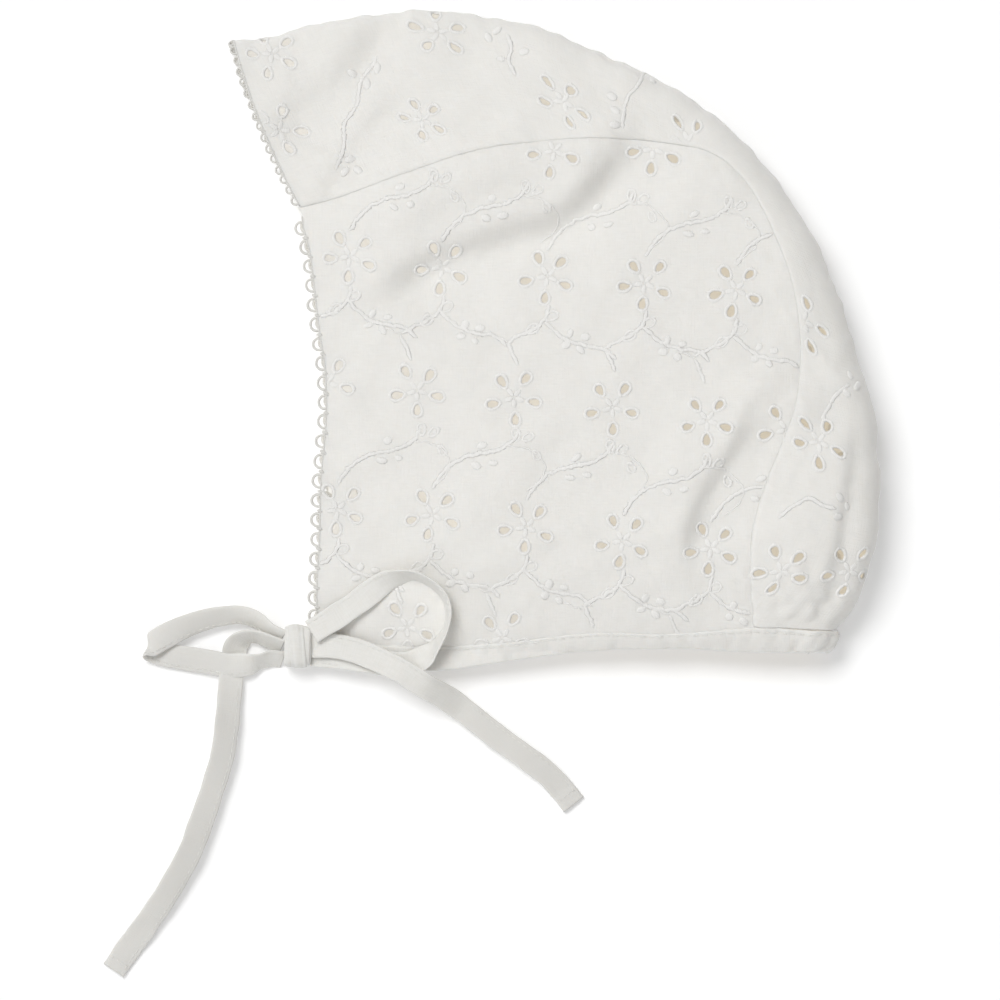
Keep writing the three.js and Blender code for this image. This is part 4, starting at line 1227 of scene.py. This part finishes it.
def lay_flower(bundle, cloth, outline, middle, turn, size):
    """A small raised star: one narrow leaf of satin stitch from the middle towards each petal."""
    length, width, height = STAR_LEAF
    for k in range(PETALS):
        direction = turn - 360 / PETALS * k
        spot = middle + turned_by([(STAR_REACH * size, 0)], direction)[0]
        if room(spot[None], outline)[0] > 0.0012:
            lay_dot(bundle, cloth, spot, direction, (length * size, width * size, height))


# Sprigs of the strip seen in the picture: x, y of a stem, then x, y of its raised dots, in millimetres
SPRIGS = [
    ([(-49, 80), (-50.5, 77), (-53.5, 73), (-54.5, 67), (-58, 61), (-58.5, 54), (-60.5, 48)],
     [(-49, 76.5), (-56, 75), (-52, 72), (-56.5, 51), (-58, 47.5), (-54.5, 48)]),
    ([(-13, 86), (-11.6, 82), (-12.2, 78), (-10, 74)],
     [(-18, 85), (-15.5, 87), (-8, 81), (-14.5, 79)]),
    ([(26.5, 76), (24.5, 73), (21.5, 69), (20, 65), (19.5, 59.5)],
     [(16.5, 68.5), (17.5, 64.5), (17.5, 60.5), (28, 73)]),
    ([(74.5, -24), (76.5, -19), (80, -14), (83, -12)],
     [(83, -9.5), (85, -12.5), (82, -14.5)]),
    ([(63, -49.5), (67.5, -45.5), (72, -44), (75.5, -46), (79, -47)],
     [(80, -43.5), (82, -46), (79.5, -49)]),
]


def lay_sprig(bundle, stem, dots, rng):
    """One stem with its raised dots, on the near side of the strip."""
    line = np.array([flat_on_strip(np.array(p) * MM)[0] for p in stem])
    line = even_points(smooth(line, np.linspace(0, len(line) - 1, 40)), 0.00036)
    line = line + np.stack([crumple(line, 0.006, 55), crumple(line, 0.006, 56)], axis=1) * 0.0002
    for run in kept_runs(line, strip_outline, 0.0004):
        lay_thread(bundle, strip_cloth, run, STEM_WIDE, STEM_HIGH, 0.00002, uneven=STEM_UNEVEN)
    for p in dots:
        spot = flat_on_strip(np.array(p) * MM)[0]
        direction = rng.uniform(0, 180)
        lay_dot(bundle, strip_cloth, spot, direction, np.array(SPRIG_DOT) * MM * rng.uniform(0.9, 1.2))


def embroider(name, cloth, outline, flowers, found, sides, sprigs=()):
    """All the embroidery of one piece of cloth."""
    bundle = Bundle()
    rng = np.random.default_rng(61)
    rim = (RIM_WIDE, CLOTH + 2 * RIM_PROUD, CLOTH / 2)
    for place, direction, size, gap in found:
        ring = petal_outline(place, direction, RIM_WIDE * 0.9, size, 26)
        if gap > PETAL_MARGIN:
            lay_thread(bundle, cloth, ring, *rim, closed=True, sides=sides, uneven=RIM_UNEVEN)
        else:
            for run in kept_runs(np.vstack([ring, ring[:1]]), outline, 0.0003):
                lay_thread(bundle, cloth, run, *rim)
    for middle, turn, size, vine in flowers:
        lay_flower(bundle, cloth, outline, middle, turn, size)
        if vine:
            lay_vine(bundle, cloth, outline, middle, turn - 118, rng)
    for stem, dots in sprigs:
        lay_sprig(bundle, stem, dots, rng)
    made = bundle.make(name)
    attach(made, "root")
    return made


embroidery = [
    embroider("near_panel_embroidery", near_cloth, panel_outline, panel_flowers, petals["panel"], 8),
    embroider("strip_embroidery", strip_cloth, strip_outline, strip_flowers, petals["strip"], 8, SPRIGS),
    embroider("far_panel_embroidery", far_cloth, far_outline, far_flowers, petals["far"], 6),
]

# %% [markdown]
# ## The neck band
# The band is the same cotton folded over the neck edge and sewn down with one row of stitches. It runs
# along the near side, round the nape and back along the far side. It gets a table of its own, from its
# upper line to its lower edge, whose rows are laid out evenly once both sides are joined. The band pulls
# the cloth in, so it ripples a little, most of all at the nape.

# %% Form of the neck band
BAND_STEPS = 26              # stations between two rows of the band's table
NAPE_STEPS = 36              # stations from the last row to the middle of the nape
NAPE_BULGE = 0.0012          # the folded nape is rounded, not cut straight
BAND_ACROSS = 24


def band_stations():
    """Upper and lower plan points of the near side's stations, from the face to the middle of the nape."""
    legs = len(BAND) - 1
    rows = np.concatenate([np.linspace(0, legs, legs * BAND_STEPS + 1), np.full(NAPE_STEPS, legs)])
    turn = np.concatenate([np.zeros(legs * BAND_STEPS + 1), np.linspace(0, np.pi / 2, NAPE_STEPS + 1)[1:]])
    share = np.sin(turn)[:, None]
    table = smooth(BAND, rows)
    top = table[:, :2] * (1 - share) + NAPE_TOP * share
    low = table[:, [0, 2]] * (1 - share) + NAPE_LOW * share
    return top, low


def band_side(height_of, inset, settle):
    """One side's table; settle keeps the heights from turning back where they close at the nape."""
    top, low = band_stations()
    across = np.linspace(0, 1, BAND_ACROSS + 1)[:, None]
    plan = top[:, None] * (1 - across) + low[:, None] * across
    plan[..., 0] += inset * (1 - ease((plan[..., 0] - BAND[0, 0]) / 0.020))
    height = height_of(plan.reshape(-1, 2)).reshape(plan.shape[:2])
    height[-NAPE_STEPS:] = settle.accumulate(height[-NAPE_STEPS:], axis=0)
    round_nape = 4 * across[..., 0] * (1 - across[..., 0])
    plan[..., 0] += NAPE_BULGE * ease((plan[..., 0] - 0.066) / 0.012) * round_nape
    return np.concatenate([plan, height[..., None]], axis=-1)


near_band = band_side(near_height, 0, np.minimum)
far_band = band_side(far_height, FAR_INSET, np.maximum)
both_sides = np.concatenate([near_band, far_band[-2::-1]])
both_run = run_length(both_sides[:, BAND_ACROSS // 2])
nape_run = both_run[len(near_band) - 1]
band_run = np.linspace(0, both_run[-1], len(both_run))
row = np.interp(band_run, both_run, np.arange(len(both_run)))
before = np.minimum(row.astype(int), len(both_run) - 2)
share = (row - before)[:, None, None]
band_places = both_sides[before] * (1 - share) + both_sides[before + 1] * share
band_wide = np.linalg.norm(band_places[:, -1] - band_places[:, 0], axis=1)


def band_cell(flat):
    row = np.interp(flat[:, 0], band_run, np.arange(len(band_run)))
    return row, flat[:, 1] / np.interp(row, np.arange(len(band_run)), band_wide) * BAND_ACROSS


band_cloth = Cloth(band_places, band_cell, 1)
print("band length:", round(band_run[-1], 4), "m, middle of the nape at", round(nape_run, 4), "m")

# %% [markdown]
# The ripples are two rows of small gathers, one straight across the band and one at a slant, and a soft
# crumple. Where the band faces up it also shares the fine relief of the cloth it is sewn to, so that the
# two move together.

# %% Ripples of the neck band
BAND_RIPPLE = 0.00007
NAPE_RIPPLE = 0.00036        # this much more at the nape
NAPE_RIPPLE_REACH = 0.018
SLANT_SHARE = 0.55           # slanting ripples, as a share of the straight ones
BAND_CRUMPLE = 0.00012

run_grid = np.repeat(band_run[:, None], BAND_ACROSS + 1, axis=1)
across_grid = band_wide[:, None] * np.linspace(0, 1, BAND_ACROSS + 1)
band_flat = np.stack([run_grid.ravel(), across_grid.ravel()], axis=1)
pull = BAND_RIPPLE + NAPE_RIPPLE * np.exp(-(((run_grid - nape_run) / NAPE_RIPPLE_REACH) ** 2))
ripple = seam_pucker(run_grid.ravel(), 0.0063, 41).reshape(run_grid.shape)
slant = seam_pucker(run_grid.ravel() + 0.6 * across_grid.ravel(), 0.0037, 42).reshape(run_grid.shape)
soft = crumple(band_flat, 0.006, 43).reshape(run_grid.shape)
shared = near_relief(band_places[..., :2].reshape(-1, 2)).reshape(run_grid.shape)
shared = shared * ease(band_cloth.outward[..., 2] / FACES_UP)
ripples = pull * (ripple + SLANT_SHARE * slant)
band_cloth.lift(ripples + BAND_CRUMPLE * soft + shared, band_cloth.outward)
print("ripples of the band:", ripples.min().round(5), "to", ripples.max().round(5), "m")

# %% [markdown]
# The band itself is a closed flat section swept along its table, about as thick as three layers of the
# cotton. The groove of its stitches is part of the section, and the stitches are laid in it. The area
# declared isn't that of the cut, which is twice the folded width times the length. It was set near the
# area of the one body that stands for both layers, because the measure takes that body for a single layer
# and refuses the cut's own area. The band is one body that stands for both layers; two thin layers of
# cloth with a fold between them would be the right way.

# %% Sweep the neck band
BAND_SIDES = 28
BAND_HALF_THICK = 0.00085
BAND_SINK = 0.00030          # the middle of the band's wall lies this far under the cloth's outer face
BAND_STITCH_PLACE = 0.17     # share of the width from its upper line
BAND_GROOVE = 0.00022
BAND_STITCH = 0.0019
BAND_STITCH_PITCH = 0.0025


def soft_corner(values, power):
    return np.sign(values) * np.abs(values) ** power


def neck_band():
    turn = np.linspace(0, 2 * np.pi, BAND_SIDES, endpoint=False)
    across = 0.5 - 0.5 * soft_corner(np.cos(turn), 0.75)
    high = BAND_HALF_THICK * soft_corner(np.sin(turn), 0.55)
    groove = BAND_GROOVE * np.exp(-(((across - BAND_STITCH_PLACE) / 0.05) ** 2)) * (high > 0)
    rings, flats = [], []
    ends = ease(np.minimum(band_run, band_run[-1] - band_run) / 0.0012)
    for run, wide, end in zip(band_run, band_wide, ends):
        flat = np.stack([np.full(BAND_SIDES, run), across * wide], axis=1)
        place, outward = band_cloth.read(flat)
        rings.append(place + outward * ((high - groove) * (0.45 + 0.55 * end) - BAND_SINK)[:, None])
        flats.append(flat)
    body = Bundle()
    body.loft(np.array(rings), np.array(flats))
    return body.make("neck_band_cloth")


band = neck_band()
stitches = Bundle()
stitch_flat = np.stack([band_run[3:-3], band_wide[3:-3] * BAND_STITCH_PLACE], axis=1)
stitch_place, stitch_up = band_cloth.read(stitch_flat)
stitch_level = BAND_HALF_THICK * 0.93 - BAND_GROOVE - BAND_SINK + THREAD * 0.15
stitch_line = stitch_place + stitch_up * stitch_level
stitch_row(stitches, stitch_line, stitch_up, BAND_STITCH_PITCH, BAND_STITCH, 44)
band_stitches = stitches.make("neck_band_stitches")
for piece in (band, band_stitches):
    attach(piece, "root")
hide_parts("neck_band")

# %% [markdown]
# ## The looped edging
# A row of small thread loops is worked into the face edge. One loop is a ring of thread that is stretched
# in edit mode: its two halves are moved apart, so the thread stays equally thick all round. Copies follow
# the edge of each layer, half hidden by it. Along the crown strip they are drawn closer to the edge.

# %% One loop of the edging
EDGE_THREAD = 0.00078
LOOP_HIGH = 0.0036           # between the middles of its thread, across the edge
LOOP_LONG = 0.0047           # and along the edge
LOOP_STEP = 0.0055           # from one loop to the next
STRIP_LOOP_SIZE = 0.6        # the loops of the crown strip are smaller, with thicker thread
STRIP_THREAD = 1.4


def stretched_ring(thread):
    bpy.ops.mesh.primitive_torus_add(
        major_segments=20, minor_segments=8, major_radius=LOOP_HIGH / 2, minor_radius=thread / 2
    )
    ring = bpy.context.object
    spare = (LOOP_LONG - LOOP_HIGH) / 2
    for sign in (1, -1):
        for v in ring.data.vertices:
            v.select = v.co.x * sign > 1e-6
        bpy.ops.object.mode_set(mode="EDIT")
        bpy.ops.transform.translate(value=(sign * spare, 0, 0))
        bpy.ops.object.mode_set(mode="OBJECT")
    return take_shape(ring)


LOOP = stretched_ring(EDGE_THREAD)
STRIP_LOOP = stretched_ring(STRIP_THREAD * EDGE_THREAD)
print("loop:", np.ptp(LOOP[0], axis=0).round(5), "m")

# %% [markdown]
# The loops are set along the edge at even steps, each a little turned and sized on its own. Between two
# loops the thread is caught into the edge with a small knot, and the cut edge itself is bound with
# thread, which hides the ends of the cloth.

# %% Loops along the face edge
LOOP_OUT = 0.0007            # how far the middle of a loop lies outside the edge
LOOP_LEAN = 0.12
EDGE_ROLL = 0.0006           # width of the thread that binds the edge
EDGE_ROLL_OVER = 0.0003      # its height over the cloth's thickness
EDGE_KNOT = (0.0019, 0.0010, 0.0010)


def edge_of(cloth, strip_side, inset):
    """The face edge of one layer: its line and outward directions, from the neck to the peak."""
    side_line = face_line[4:-2] + (inset, 0)
    lower = cloth.read(even_points(side_line, 0.0005))
    reach = near_reach[0] if strip_side < 0 else far_reach[0]
    across = np.linspace(strip_side * (reach - 0.0006), strip_side * 0.0008, 90)
    upper = strip_cloth.read(np.stack([np.full(90, EDGE_IN / 2), across], axis=1))
    return lower, upper


def edge_loops(name, cloth, strip_side, inset):
    """All the loops, knots and binding of one layer's face edge."""
    bundle = Bundle()
    rng = np.random.default_rng(71)
    kinds = ((LOOP, 1.0), (STRIP_LOOP, STRIP_LOOP_SIZE))
    for (line, up), (loop, size) in zip(edge_of(cloth, strip_side, inset), kinds):
        middle = line - up * CLOTH / 2
        run = run_length(line)
        at = np.arange(LOOP_STEP * size / 2, run[-1], LOOP_STEP * size)
        pick = np.clip(np.searchsorted(run, at), 1, len(run) - 2)
        ahead = unit(line[np.minimum(pick + 6, len(run) - 1)] - line[np.maximum(pick - 6, 0)])
        outward = unit(np.cross(up[pick], ahead))
        outward *= np.where(outward[:, :1] > 0, -1, 1)
        place = middle[pick] + outward * LOOP_OUT * size - up[pick] * (CLOTH + EDGE_THREAD) / 2.4
        lean = rng.uniform(-LOOP_LEAN, LOOP_LEAN, (len(pick), 1))
        sizes = np.repeat([[size, size, 1.0]], len(pick), axis=0) * rng.uniform(0.93, 1.05, (len(pick), 3))
        bundle.copy(loop, place, unit(ahead + outward * lean), up[pick], sizes)
        knots = np.clip(np.searchsorted(run, at[:-1] + LOOP_STEP * size / 2), 1, len(run) - 2)
        knot_size = np.repeat([EDGE_KNOT], len(knots), axis=0) * size
        knot_size = knot_size * rng.uniform(0.85, 1.15, (len(knots), 1))
        out, on = outward[: len(knots)], ahead[: len(knots)]
        knot_place = middle[knots] + out * 0.0001 + up[knots] * CLOTH * 0.3
        knot_along = unit(out + on * rng.uniform(0.1, 0.6, (len(knots), 1)))
        bundle.copy(DOT, knot_place, knot_along, up[knots], knot_size)
        turn = np.linspace(0, 2 * np.pi, 8, endpoint=False)
        side = unit(np.cross(np.gradient(line, axis=0), up))
        roll = middle[:, None] + side[:, None] * (np.cos(turn) * EDGE_ROLL / 2)[:, None]
        roll = roll + up[:, None] * (np.sin(turn) * (CLOTH + EDGE_ROLL_OVER) / 2)[:, None]
        bundle.loft(roll)
    made = bundle.make(name)
    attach(made, "root")
    return made


near_edging = edge_loops("near_edging_loops", near_cloth, -1, 0)
far_edging = edge_loops("far_edging_loops", far_cloth, 1, FAR_INSET)
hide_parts("near_loop_edging")
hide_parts("far_loop_edging")

# %% [markdown]
# ## The knot
# The knot is one turn of the tape drawn tight round the four strands. It starts as a short open cylinder
# across them, is cut into more bands by bisect, squeezed to an oval, and pinched where the tape creases.
# Solidify gives it the tape's thickness. A second, narrower turn crosses it at a slant, as the end that
# was pulled through.

# %% Wrap the knot
KNOT_LOW, KNOT_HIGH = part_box("bow_knot")
KNOT_MIDDLE = (np.array(KNOT_LOW) + np.array(KNOT_HIGH)) / 2
KNOT_SIZE = np.array(KNOT_HIGH) - np.array(KNOT_LOW)
KNOT_SIDES = 56
KNOT_BANDS = 12
KNOT_CREASE = 0.00014
KNOT_EDGE = 0.00035          # how far its two edges are drawn in
KNOT_SQUARE = 0.7            # 1 keeps the section an oval, less makes it squarer


def knot_turn(name, wide, grow, slant, seed):
    """One turn of tape round the strands, with soft lengthwise creases."""
    bpy.ops.mesh.primitive_cylinder_add(
        vertices=KNOT_SIDES, radius=1, depth=wide, end_fill_type="NOTHING", rotation=(0, np.pi / 2, 0)
    )
    turn = bpy.context.object
    turn.name = name
    bpy.ops.object.transform_apply(location=True, rotation=True, scale=True)
    cuts = [
        lambda x=x: (
            bpy.ops.mesh.select_all(action="SELECT"),
            bpy.ops.mesh.bisect(plane_co=(x, 0, 0), plane_no=(1, 0, 0)),
        )
        for x in np.linspace(-wide / 2, wide / 2, KNOT_BANDS + 1)[1:-1]
    ]
    in_edit_mode(turn, *cuts)
    places = np.array([v.co for v in turn.data.vertices])
    across = places[:, 0] / wide * 2
    around = np.arctan2(places[:, 2], places[:, 1])
    half = KNOT_SIZE[1:] / 2 - TIE_THICK * 0.5 + grow
    ring = soft_corner(np.stack([np.cos(around), np.sin(around)], axis=1), KNOT_SQUARE) * half
    crease = crumple(np.stack([across * 0.004, around * 0.0008], axis=1), 0.0028, seed, 12) * KNOT_CREASE
    edge = KNOT_EDGE * np.abs(across) ** 3
    ring = ring * (1 + (crease - edge) / half.mean())[:, None]
    places[:, 0] += slant * ring[:, 0]
    places[:, 1:] = ring
    turn.data.vertices.foreach_set("co", (places + KNOT_MIDDLE).astype(np.float32).ravel())
    corners = np.array([loop.vertex_index for loop in turn.data.loops])
    flat = np.stack([around * half.mean(), places[:, 0]], axis=1)[corners]
    turn.data.uv_layers.active.uv.foreach_set("vector", flat.astype(np.float32).ravel())
    in_edit_mode(turn, lambda: bpy.ops.mesh.normals_make_consistent(inside=False))
    apply_modifier(turn, "SOLIDIFY", thickness=TIE_THICK * 0.8, offset=0)
    apply_modifier(turn, "SUBSURF", levels=1, render_levels=1)
    turn.data.uv_layers.active.name = "flat"
    turn.data.shade_smooth()
    return turn


knot_wrap = knot_turn("knot_first_turn", KNOT_SIZE[0], 0.0, 0.03, 81)
knot_over = knot_turn("knot_second_turn", KNOT_SIZE[0] * 0.6, 0.00035, -0.09, 82)
for piece in (knot_wrap, knot_over):
    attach(piece, "root")
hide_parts("bow_knot")
print("knot:", KNOT_SIZE.round(4), "m")

# %% [markdown]
# ## Finishes
# White on white lives from small relief: the weave, the slubs of the yarn and the ribs of satin stitch.
# Every finish is drawn on the flat places, so threads run with the cloth. Shader nodes are long to write,
# so a small class lets sums of sockets be written as sums, and one method makes any other node.

# %% Shader sums
class Wire:
    """A shader socket in Python sums; every operator adds its Math node."""

    def __init__(self, tree, socket=None):
        self.tree, self.socket = tree, socket

    def node(self, kind, settings=None, sockets=None, output=0):
        made = self.tree.nodes.new("ShaderNode" + kind)
        for key, value in (settings or {}).items():
            setattr(made, key, value)
        for key, value in (sockets or {}).items():
            if isinstance(value, Wire):
                self.tree.links.new(value.socket, made.inputs[key])
            else:
                made.inputs[key].default_value = value
        return Wire(self.tree, made.outputs[output] if made.outputs else None)

    def blend(self, share, first, second):
        """A colour between two others: the first where share is 0, the second where it is 1."""
        return self.node("Mix", {"data_type": "RGBA"}, {0: share, 6: first, 7: second}, output=2)

    def math(self, operation, first, second):
        return self.node("Math", {"operation": operation}, {0: first, 1: second})

    def __add__(self, other):
        return self.math("ADD", self, other)

    def __mul__(self, other):
        return self.math("MULTIPLY", self, other)

    __radd__ = __add__
    __rmul__ = __mul__


def new_finish(name):
    material = bpy.data.materials.new(name)
    material.use_nodes = True
    material.node_tree.nodes.clear()
    return material, Wire(material.node_tree)


def finish_with(start, colour, roughness, height, depth, **constants):
    """Ends a material: one Principled shader with its bump, and constant values on its own sockets."""
    bump = start.node("Bump", {}, {"Height": height, "Distance": depth, "Strength": 1.0})
    sockets = {"Base Color": colour, "Roughness": roughness, "Normal": bump, **constants}
    shader = start.node("BsdfPrincipled", {}, sockets)
    start.node("OutputMaterial", {}, {"Surface": shader})


# %% [markdown]
# Cotton is noise stretched along each of its two yarn directions, which gives yarns of changing
# thickness. The same sum makes the bump and the tone. Light soaks into thin cloth, which subsurface
# shows, and comes out on its wrong side. That side is seen only through the eyelets and at the openings.
# It is painted a little darker and warmer than the right side, as painted shade, and a faint glow of
# painted light, dimmer and warmer towards the back, stands for the light that comes through. The tapes
# are a little darker away from the bow, as painted shade on the tails.

# %% Cotton and tape
YARN_LONG = 0.12             # how much slower the pattern changes along a yarn than across it
BOW_MIDDLE = (-0.055, -0.078, 0.0)


def woven(name, light, dark, yarn, depth, sheen, through, glow=None, ends=None):
    """Woven cotton with slubs and a little mottling; through is the share of light that soaks in.

    glow is painted light on the wrong side, for the light that comes through, at the face edge and at the
    back. ends is a darker colour of painted shade on the tails, and the two distances from the bow's middle
    between which it takes over.
    """
    material, start = new_finish(name)
    flat = start.node("UVMap", {"uv_map": "flat"})
    u, v = (start.node("SeparateXYZ", {}, {0: flat}, output=k) for k in (0, 1))

    def yarns(along, across, shift):
        axes = {0: along * (YARN_LONG / yarn), 1: across * (1.0 / yarn), 2: shift}
        place = start.node("CombineXYZ", {}, axes)
        return start.node("TexNoise", {}, {"Vector": place, "Scale": 1.0, "Detail": 1.0})

    weave = yarns(u, v, 3.0) + yarns(v, u, 8.0)
    mottle = start.node("TexNoise", {}, {"Vector": flat, "Scale": 260.0, "Detail": 3.0})
    tone = start.node("MapRange", {}, {"Value": weave + mottle * 0.6, "From Min": 0.95, "From Max": 1.65})
    colour = start.blend(tone, (*dark, 1), (*light, 1))
    rough = start.node("MapRange", {}, {"Value": mottle, "To Min": 0.82, "To Max": 0.95})
    constants = {
        "Sheen Weight": sheen,
        "Sheen Roughness": 0.5,
        "Subsurface Weight": through,
        "Subsurface Radius": (0.0011, 0.0010, 0.0009),
        "Subsurface Scale": 1.0,
        "Specular IOR Level": 0.25,
    }
    place = start.node("TexCoord", {}, {}, output=3)
    # painted shade: the tape turns darker away from the bow's middle, on the tails
    if ends:
        tail_shade, near, far = ends
        away = start.node("VectorMath", {"operation": "DISTANCE"}, {0: place, 1: BOW_MIDDLE}, output=1)
        share = start.node("MapRange", {}, {"Value": away, "From Min": near, "From Max": far})
        colour = start.blend(share, colour, (*tail_shade, 1))
    # painted light: the wrong side glows, dimmer and warmer towards the back, for light that comes through
    # the cloth
    if glow:
        x = start.node("SeparateXYZ", {}, {0: place})
        back = start.node("MapRange", {}, {"Value": x, "From Min": FACE_X, "From Max": BACK_X})
        inside = start.blend(back, (*glow[0], 1), (*glow[1], 1))
        constants.update({"Emission Color": inside, "Emission Strength": 1.0})
    finish_with(start, colour, rough, weave, depth, **constants)
    return material


# %% [markdown]
# Thread is smoother than cloth and shines a little more. In satin stitch it lies side by side, so a sine
# wave along the run of each body gives the ribs, and a little noise keeps them from being too regular.
# The sine also darkens the colour in the grooves between the ribs, which is painted shade.

# %% Thread
def satin(name, light, dark, rib, depth):
    """Thread worked in satin stitch, with one rib in every given length of its run."""
    material, start = new_finish(name)
    flat = start.node("UVMap", {"uv_map": "flat"})
    along = start.node("SeparateXYZ", {}, {0: flat})
    wobble = start.node("TexNoise", {}, {"Vector": flat, "Scale": 900.0, "Detail": 1.0})
    ribs = start.node("Math", {"operation": "SINE"}, {0: along * (2 * np.pi / rib) + wobble * 5.0})
    # painted shade: the colour is darker in the grooves between the ribs
    tone = start.node("MapRange", {}, {"Value": ribs + wobble, "From Min": -1.0, "From Max": 1.8})
    colour = start.blend(tone, (*dark, 1), (*light, 1))
    rough = start.node("MapRange", {}, {"Value": wobble, "To Min": 0.5, "To Max": 0.7})
    finish_with(start, colour, rough, ribs, depth, **{"Sheen Weight": 0.15, "Specular IOR Level": 0.4})
    return material


FINE_YARN = {"yarn": 0.00042, "depth": 0.00008, "through": 0.35}
COTTON = woven("white_eyelet_cotton", (0.845, 0.835, 0.805), (0.815, 0.805, 0.775), sheen=0.2, **FINE_YARN)
# the wrong side of the cotton: painted shade, a little darker and warmer than the right side, with a glow of
# painted light
INNER_SHADE_AND_GLOW = woven(
    "cotton_wrong_side_painted_shade_and_glow", (0.84, 0.828, 0.805), (0.81, 0.795, 0.768), sheen=0.1, **FINE_YARN,
    glow=((0.225, 0.220, 0.210), (0.15, 0.130, 0.096)),
)
# tape with painted shade on its tails, away from the bow
TAPE_SHADED_TAILS = woven(
    "cotton_tape", (0.84, 0.83, 0.80), (0.80, 0.79, 0.75), yarn=0.00040, depth=0.00008, sheen=0.2,
    through=0.2, ends=((0.74, 0.73, 0.70), 0.028, 0.046),
)
WORKED = satin("embroidery_thread", (0.91, 0.90, 0.875), (0.86, 0.85, 0.825), rib=0.00045, depth=0.00003)
SEWING = satin("sewing_thread", (0.86, 0.85, 0.82), (0.80, 0.79, 0.75), rib=0.00035, depth=0.00003)
EDGING = satin("edging_thread", (0.80, 0.79, 0.76), (0.73, 0.72, 0.68), rib=0.00045, depth=0.00004)
print("finishes:", [material.name for material in (COTTON, INNER_SHADE_AND_GLOW, TAPE_SHADED_TAILS, WORKED, SEWING, EDGING)])

# %% [markdown]
# Every piece gets its finish. A sheet has two: Solidify gave its wrong side the second material, and the
# slot numbers of its faces are kept while the materials are put in.

# %% Dress the pieces
def dress(piece, *finishes):
    piece.data.materials.clear()
    for finish in finishes:
        piece.data.materials.append(finish)


for piece in (near_panel, far_panel, strip):
    which_side = np.array([f.material_index for f in piece.data.polygons], np.int32)
    dress(piece, COTTON, INNER_SHADE_AND_GLOW)
    piece.data.polygons.foreach_set("material_index", np.clip(which_side, 0, 1))
dress(band, COTTON)
for piece in (knot_wrap, knot_over, *[tape for tape, _, _ in ties.values()]):
    dress(piece, TAPE_SHADED_TAILS)
for piece in embroidery:
    dress(piece, WORKED)
for piece in (near_edging, far_edging):
    dress(piece, EDGING)
for piece in (band_stitches, *tie_stitches.values()):
    dress(piece, SEWING)

# %% [markdown]
# ## Table and light
# The bonnet lies on plain white. It is a large plane, so that no edge shows, and it glows faintly, so
# that the lit table is pure white in the picture while the shadows on it stay soft and grey.

# %% Table
TABLE_GLOW = 0.15

bpy.ops.mesh.primitive_plane_add(size=40, location=(0, 0, 0))
table = bpy.context.object
table.name = "table"
material, start = new_finish("white_table")
speck = start.node("TexNoise", {}, {"Vector": start.node("TexCoord", {}, {}, output=3), "Scale": 40.0})
tone = start.node("MapRange", {}, {"Value": speck, "To Min": 0.93, "To Max": 0.95})
grey = start.node("CombineColor", {}, {0: tone, 1: tone, 2: tone})
glow = {"Emission Color": (1.0, 1.0, 1.0, 1.0), "Emission Strength": TABLE_GLOW}
finish_with(start, grey, 0.95, speck, 0.00001, **{"Specular IOR Level": 0.0, **glow})
dress(table, material)

# %% [markdown]
# The key lamp stands at the upper left and draws the folds and a soft shadow to the lower right. A very
# wide fill lamp from the lower left and an even white sky brighten the shade. Both lamps are suns, which
# light the whole table alike, and their wide angle makes the shadows soft, as a large window or a softbox
# does.

# %% Light
SKY_STRENGTH = 0.27
# Each row: name, strength, then in degrees: softness, tilt from straight down, direction it comes from
LAMPS = [
    ("key_lamp", 1.66, 28, 31, 125),
    ("fill_lamp", 0.92, 110, 45, 245),
]

for name, strength, softness, tilt, direction in LAMPS:
    bpy.ops.object.light_add(type="SUN", location=(-0.4, 0.4, 1))
    lamp = bpy.context.object
    lamp.name = name
    lamp.data.energy = strength
    lamp.data.angle = np.radians(softness)
    lamp.rotation_euler = (0, np.radians(tilt), np.radians(direction))
sky = bpy.data.worlds.new("soft_sky")
bpy.context.scene.world = sky
sky.use_nodes = True
sky.node_tree.nodes["Background"].inputs[0].default_value = (1.0, 1.0, 1.0, 1)
sky.node_tree.nodes["Background"].inputs[1].default_value = SKY_STRENGTH
bpy.context.scene.view_settings.view_transform = "Standard"
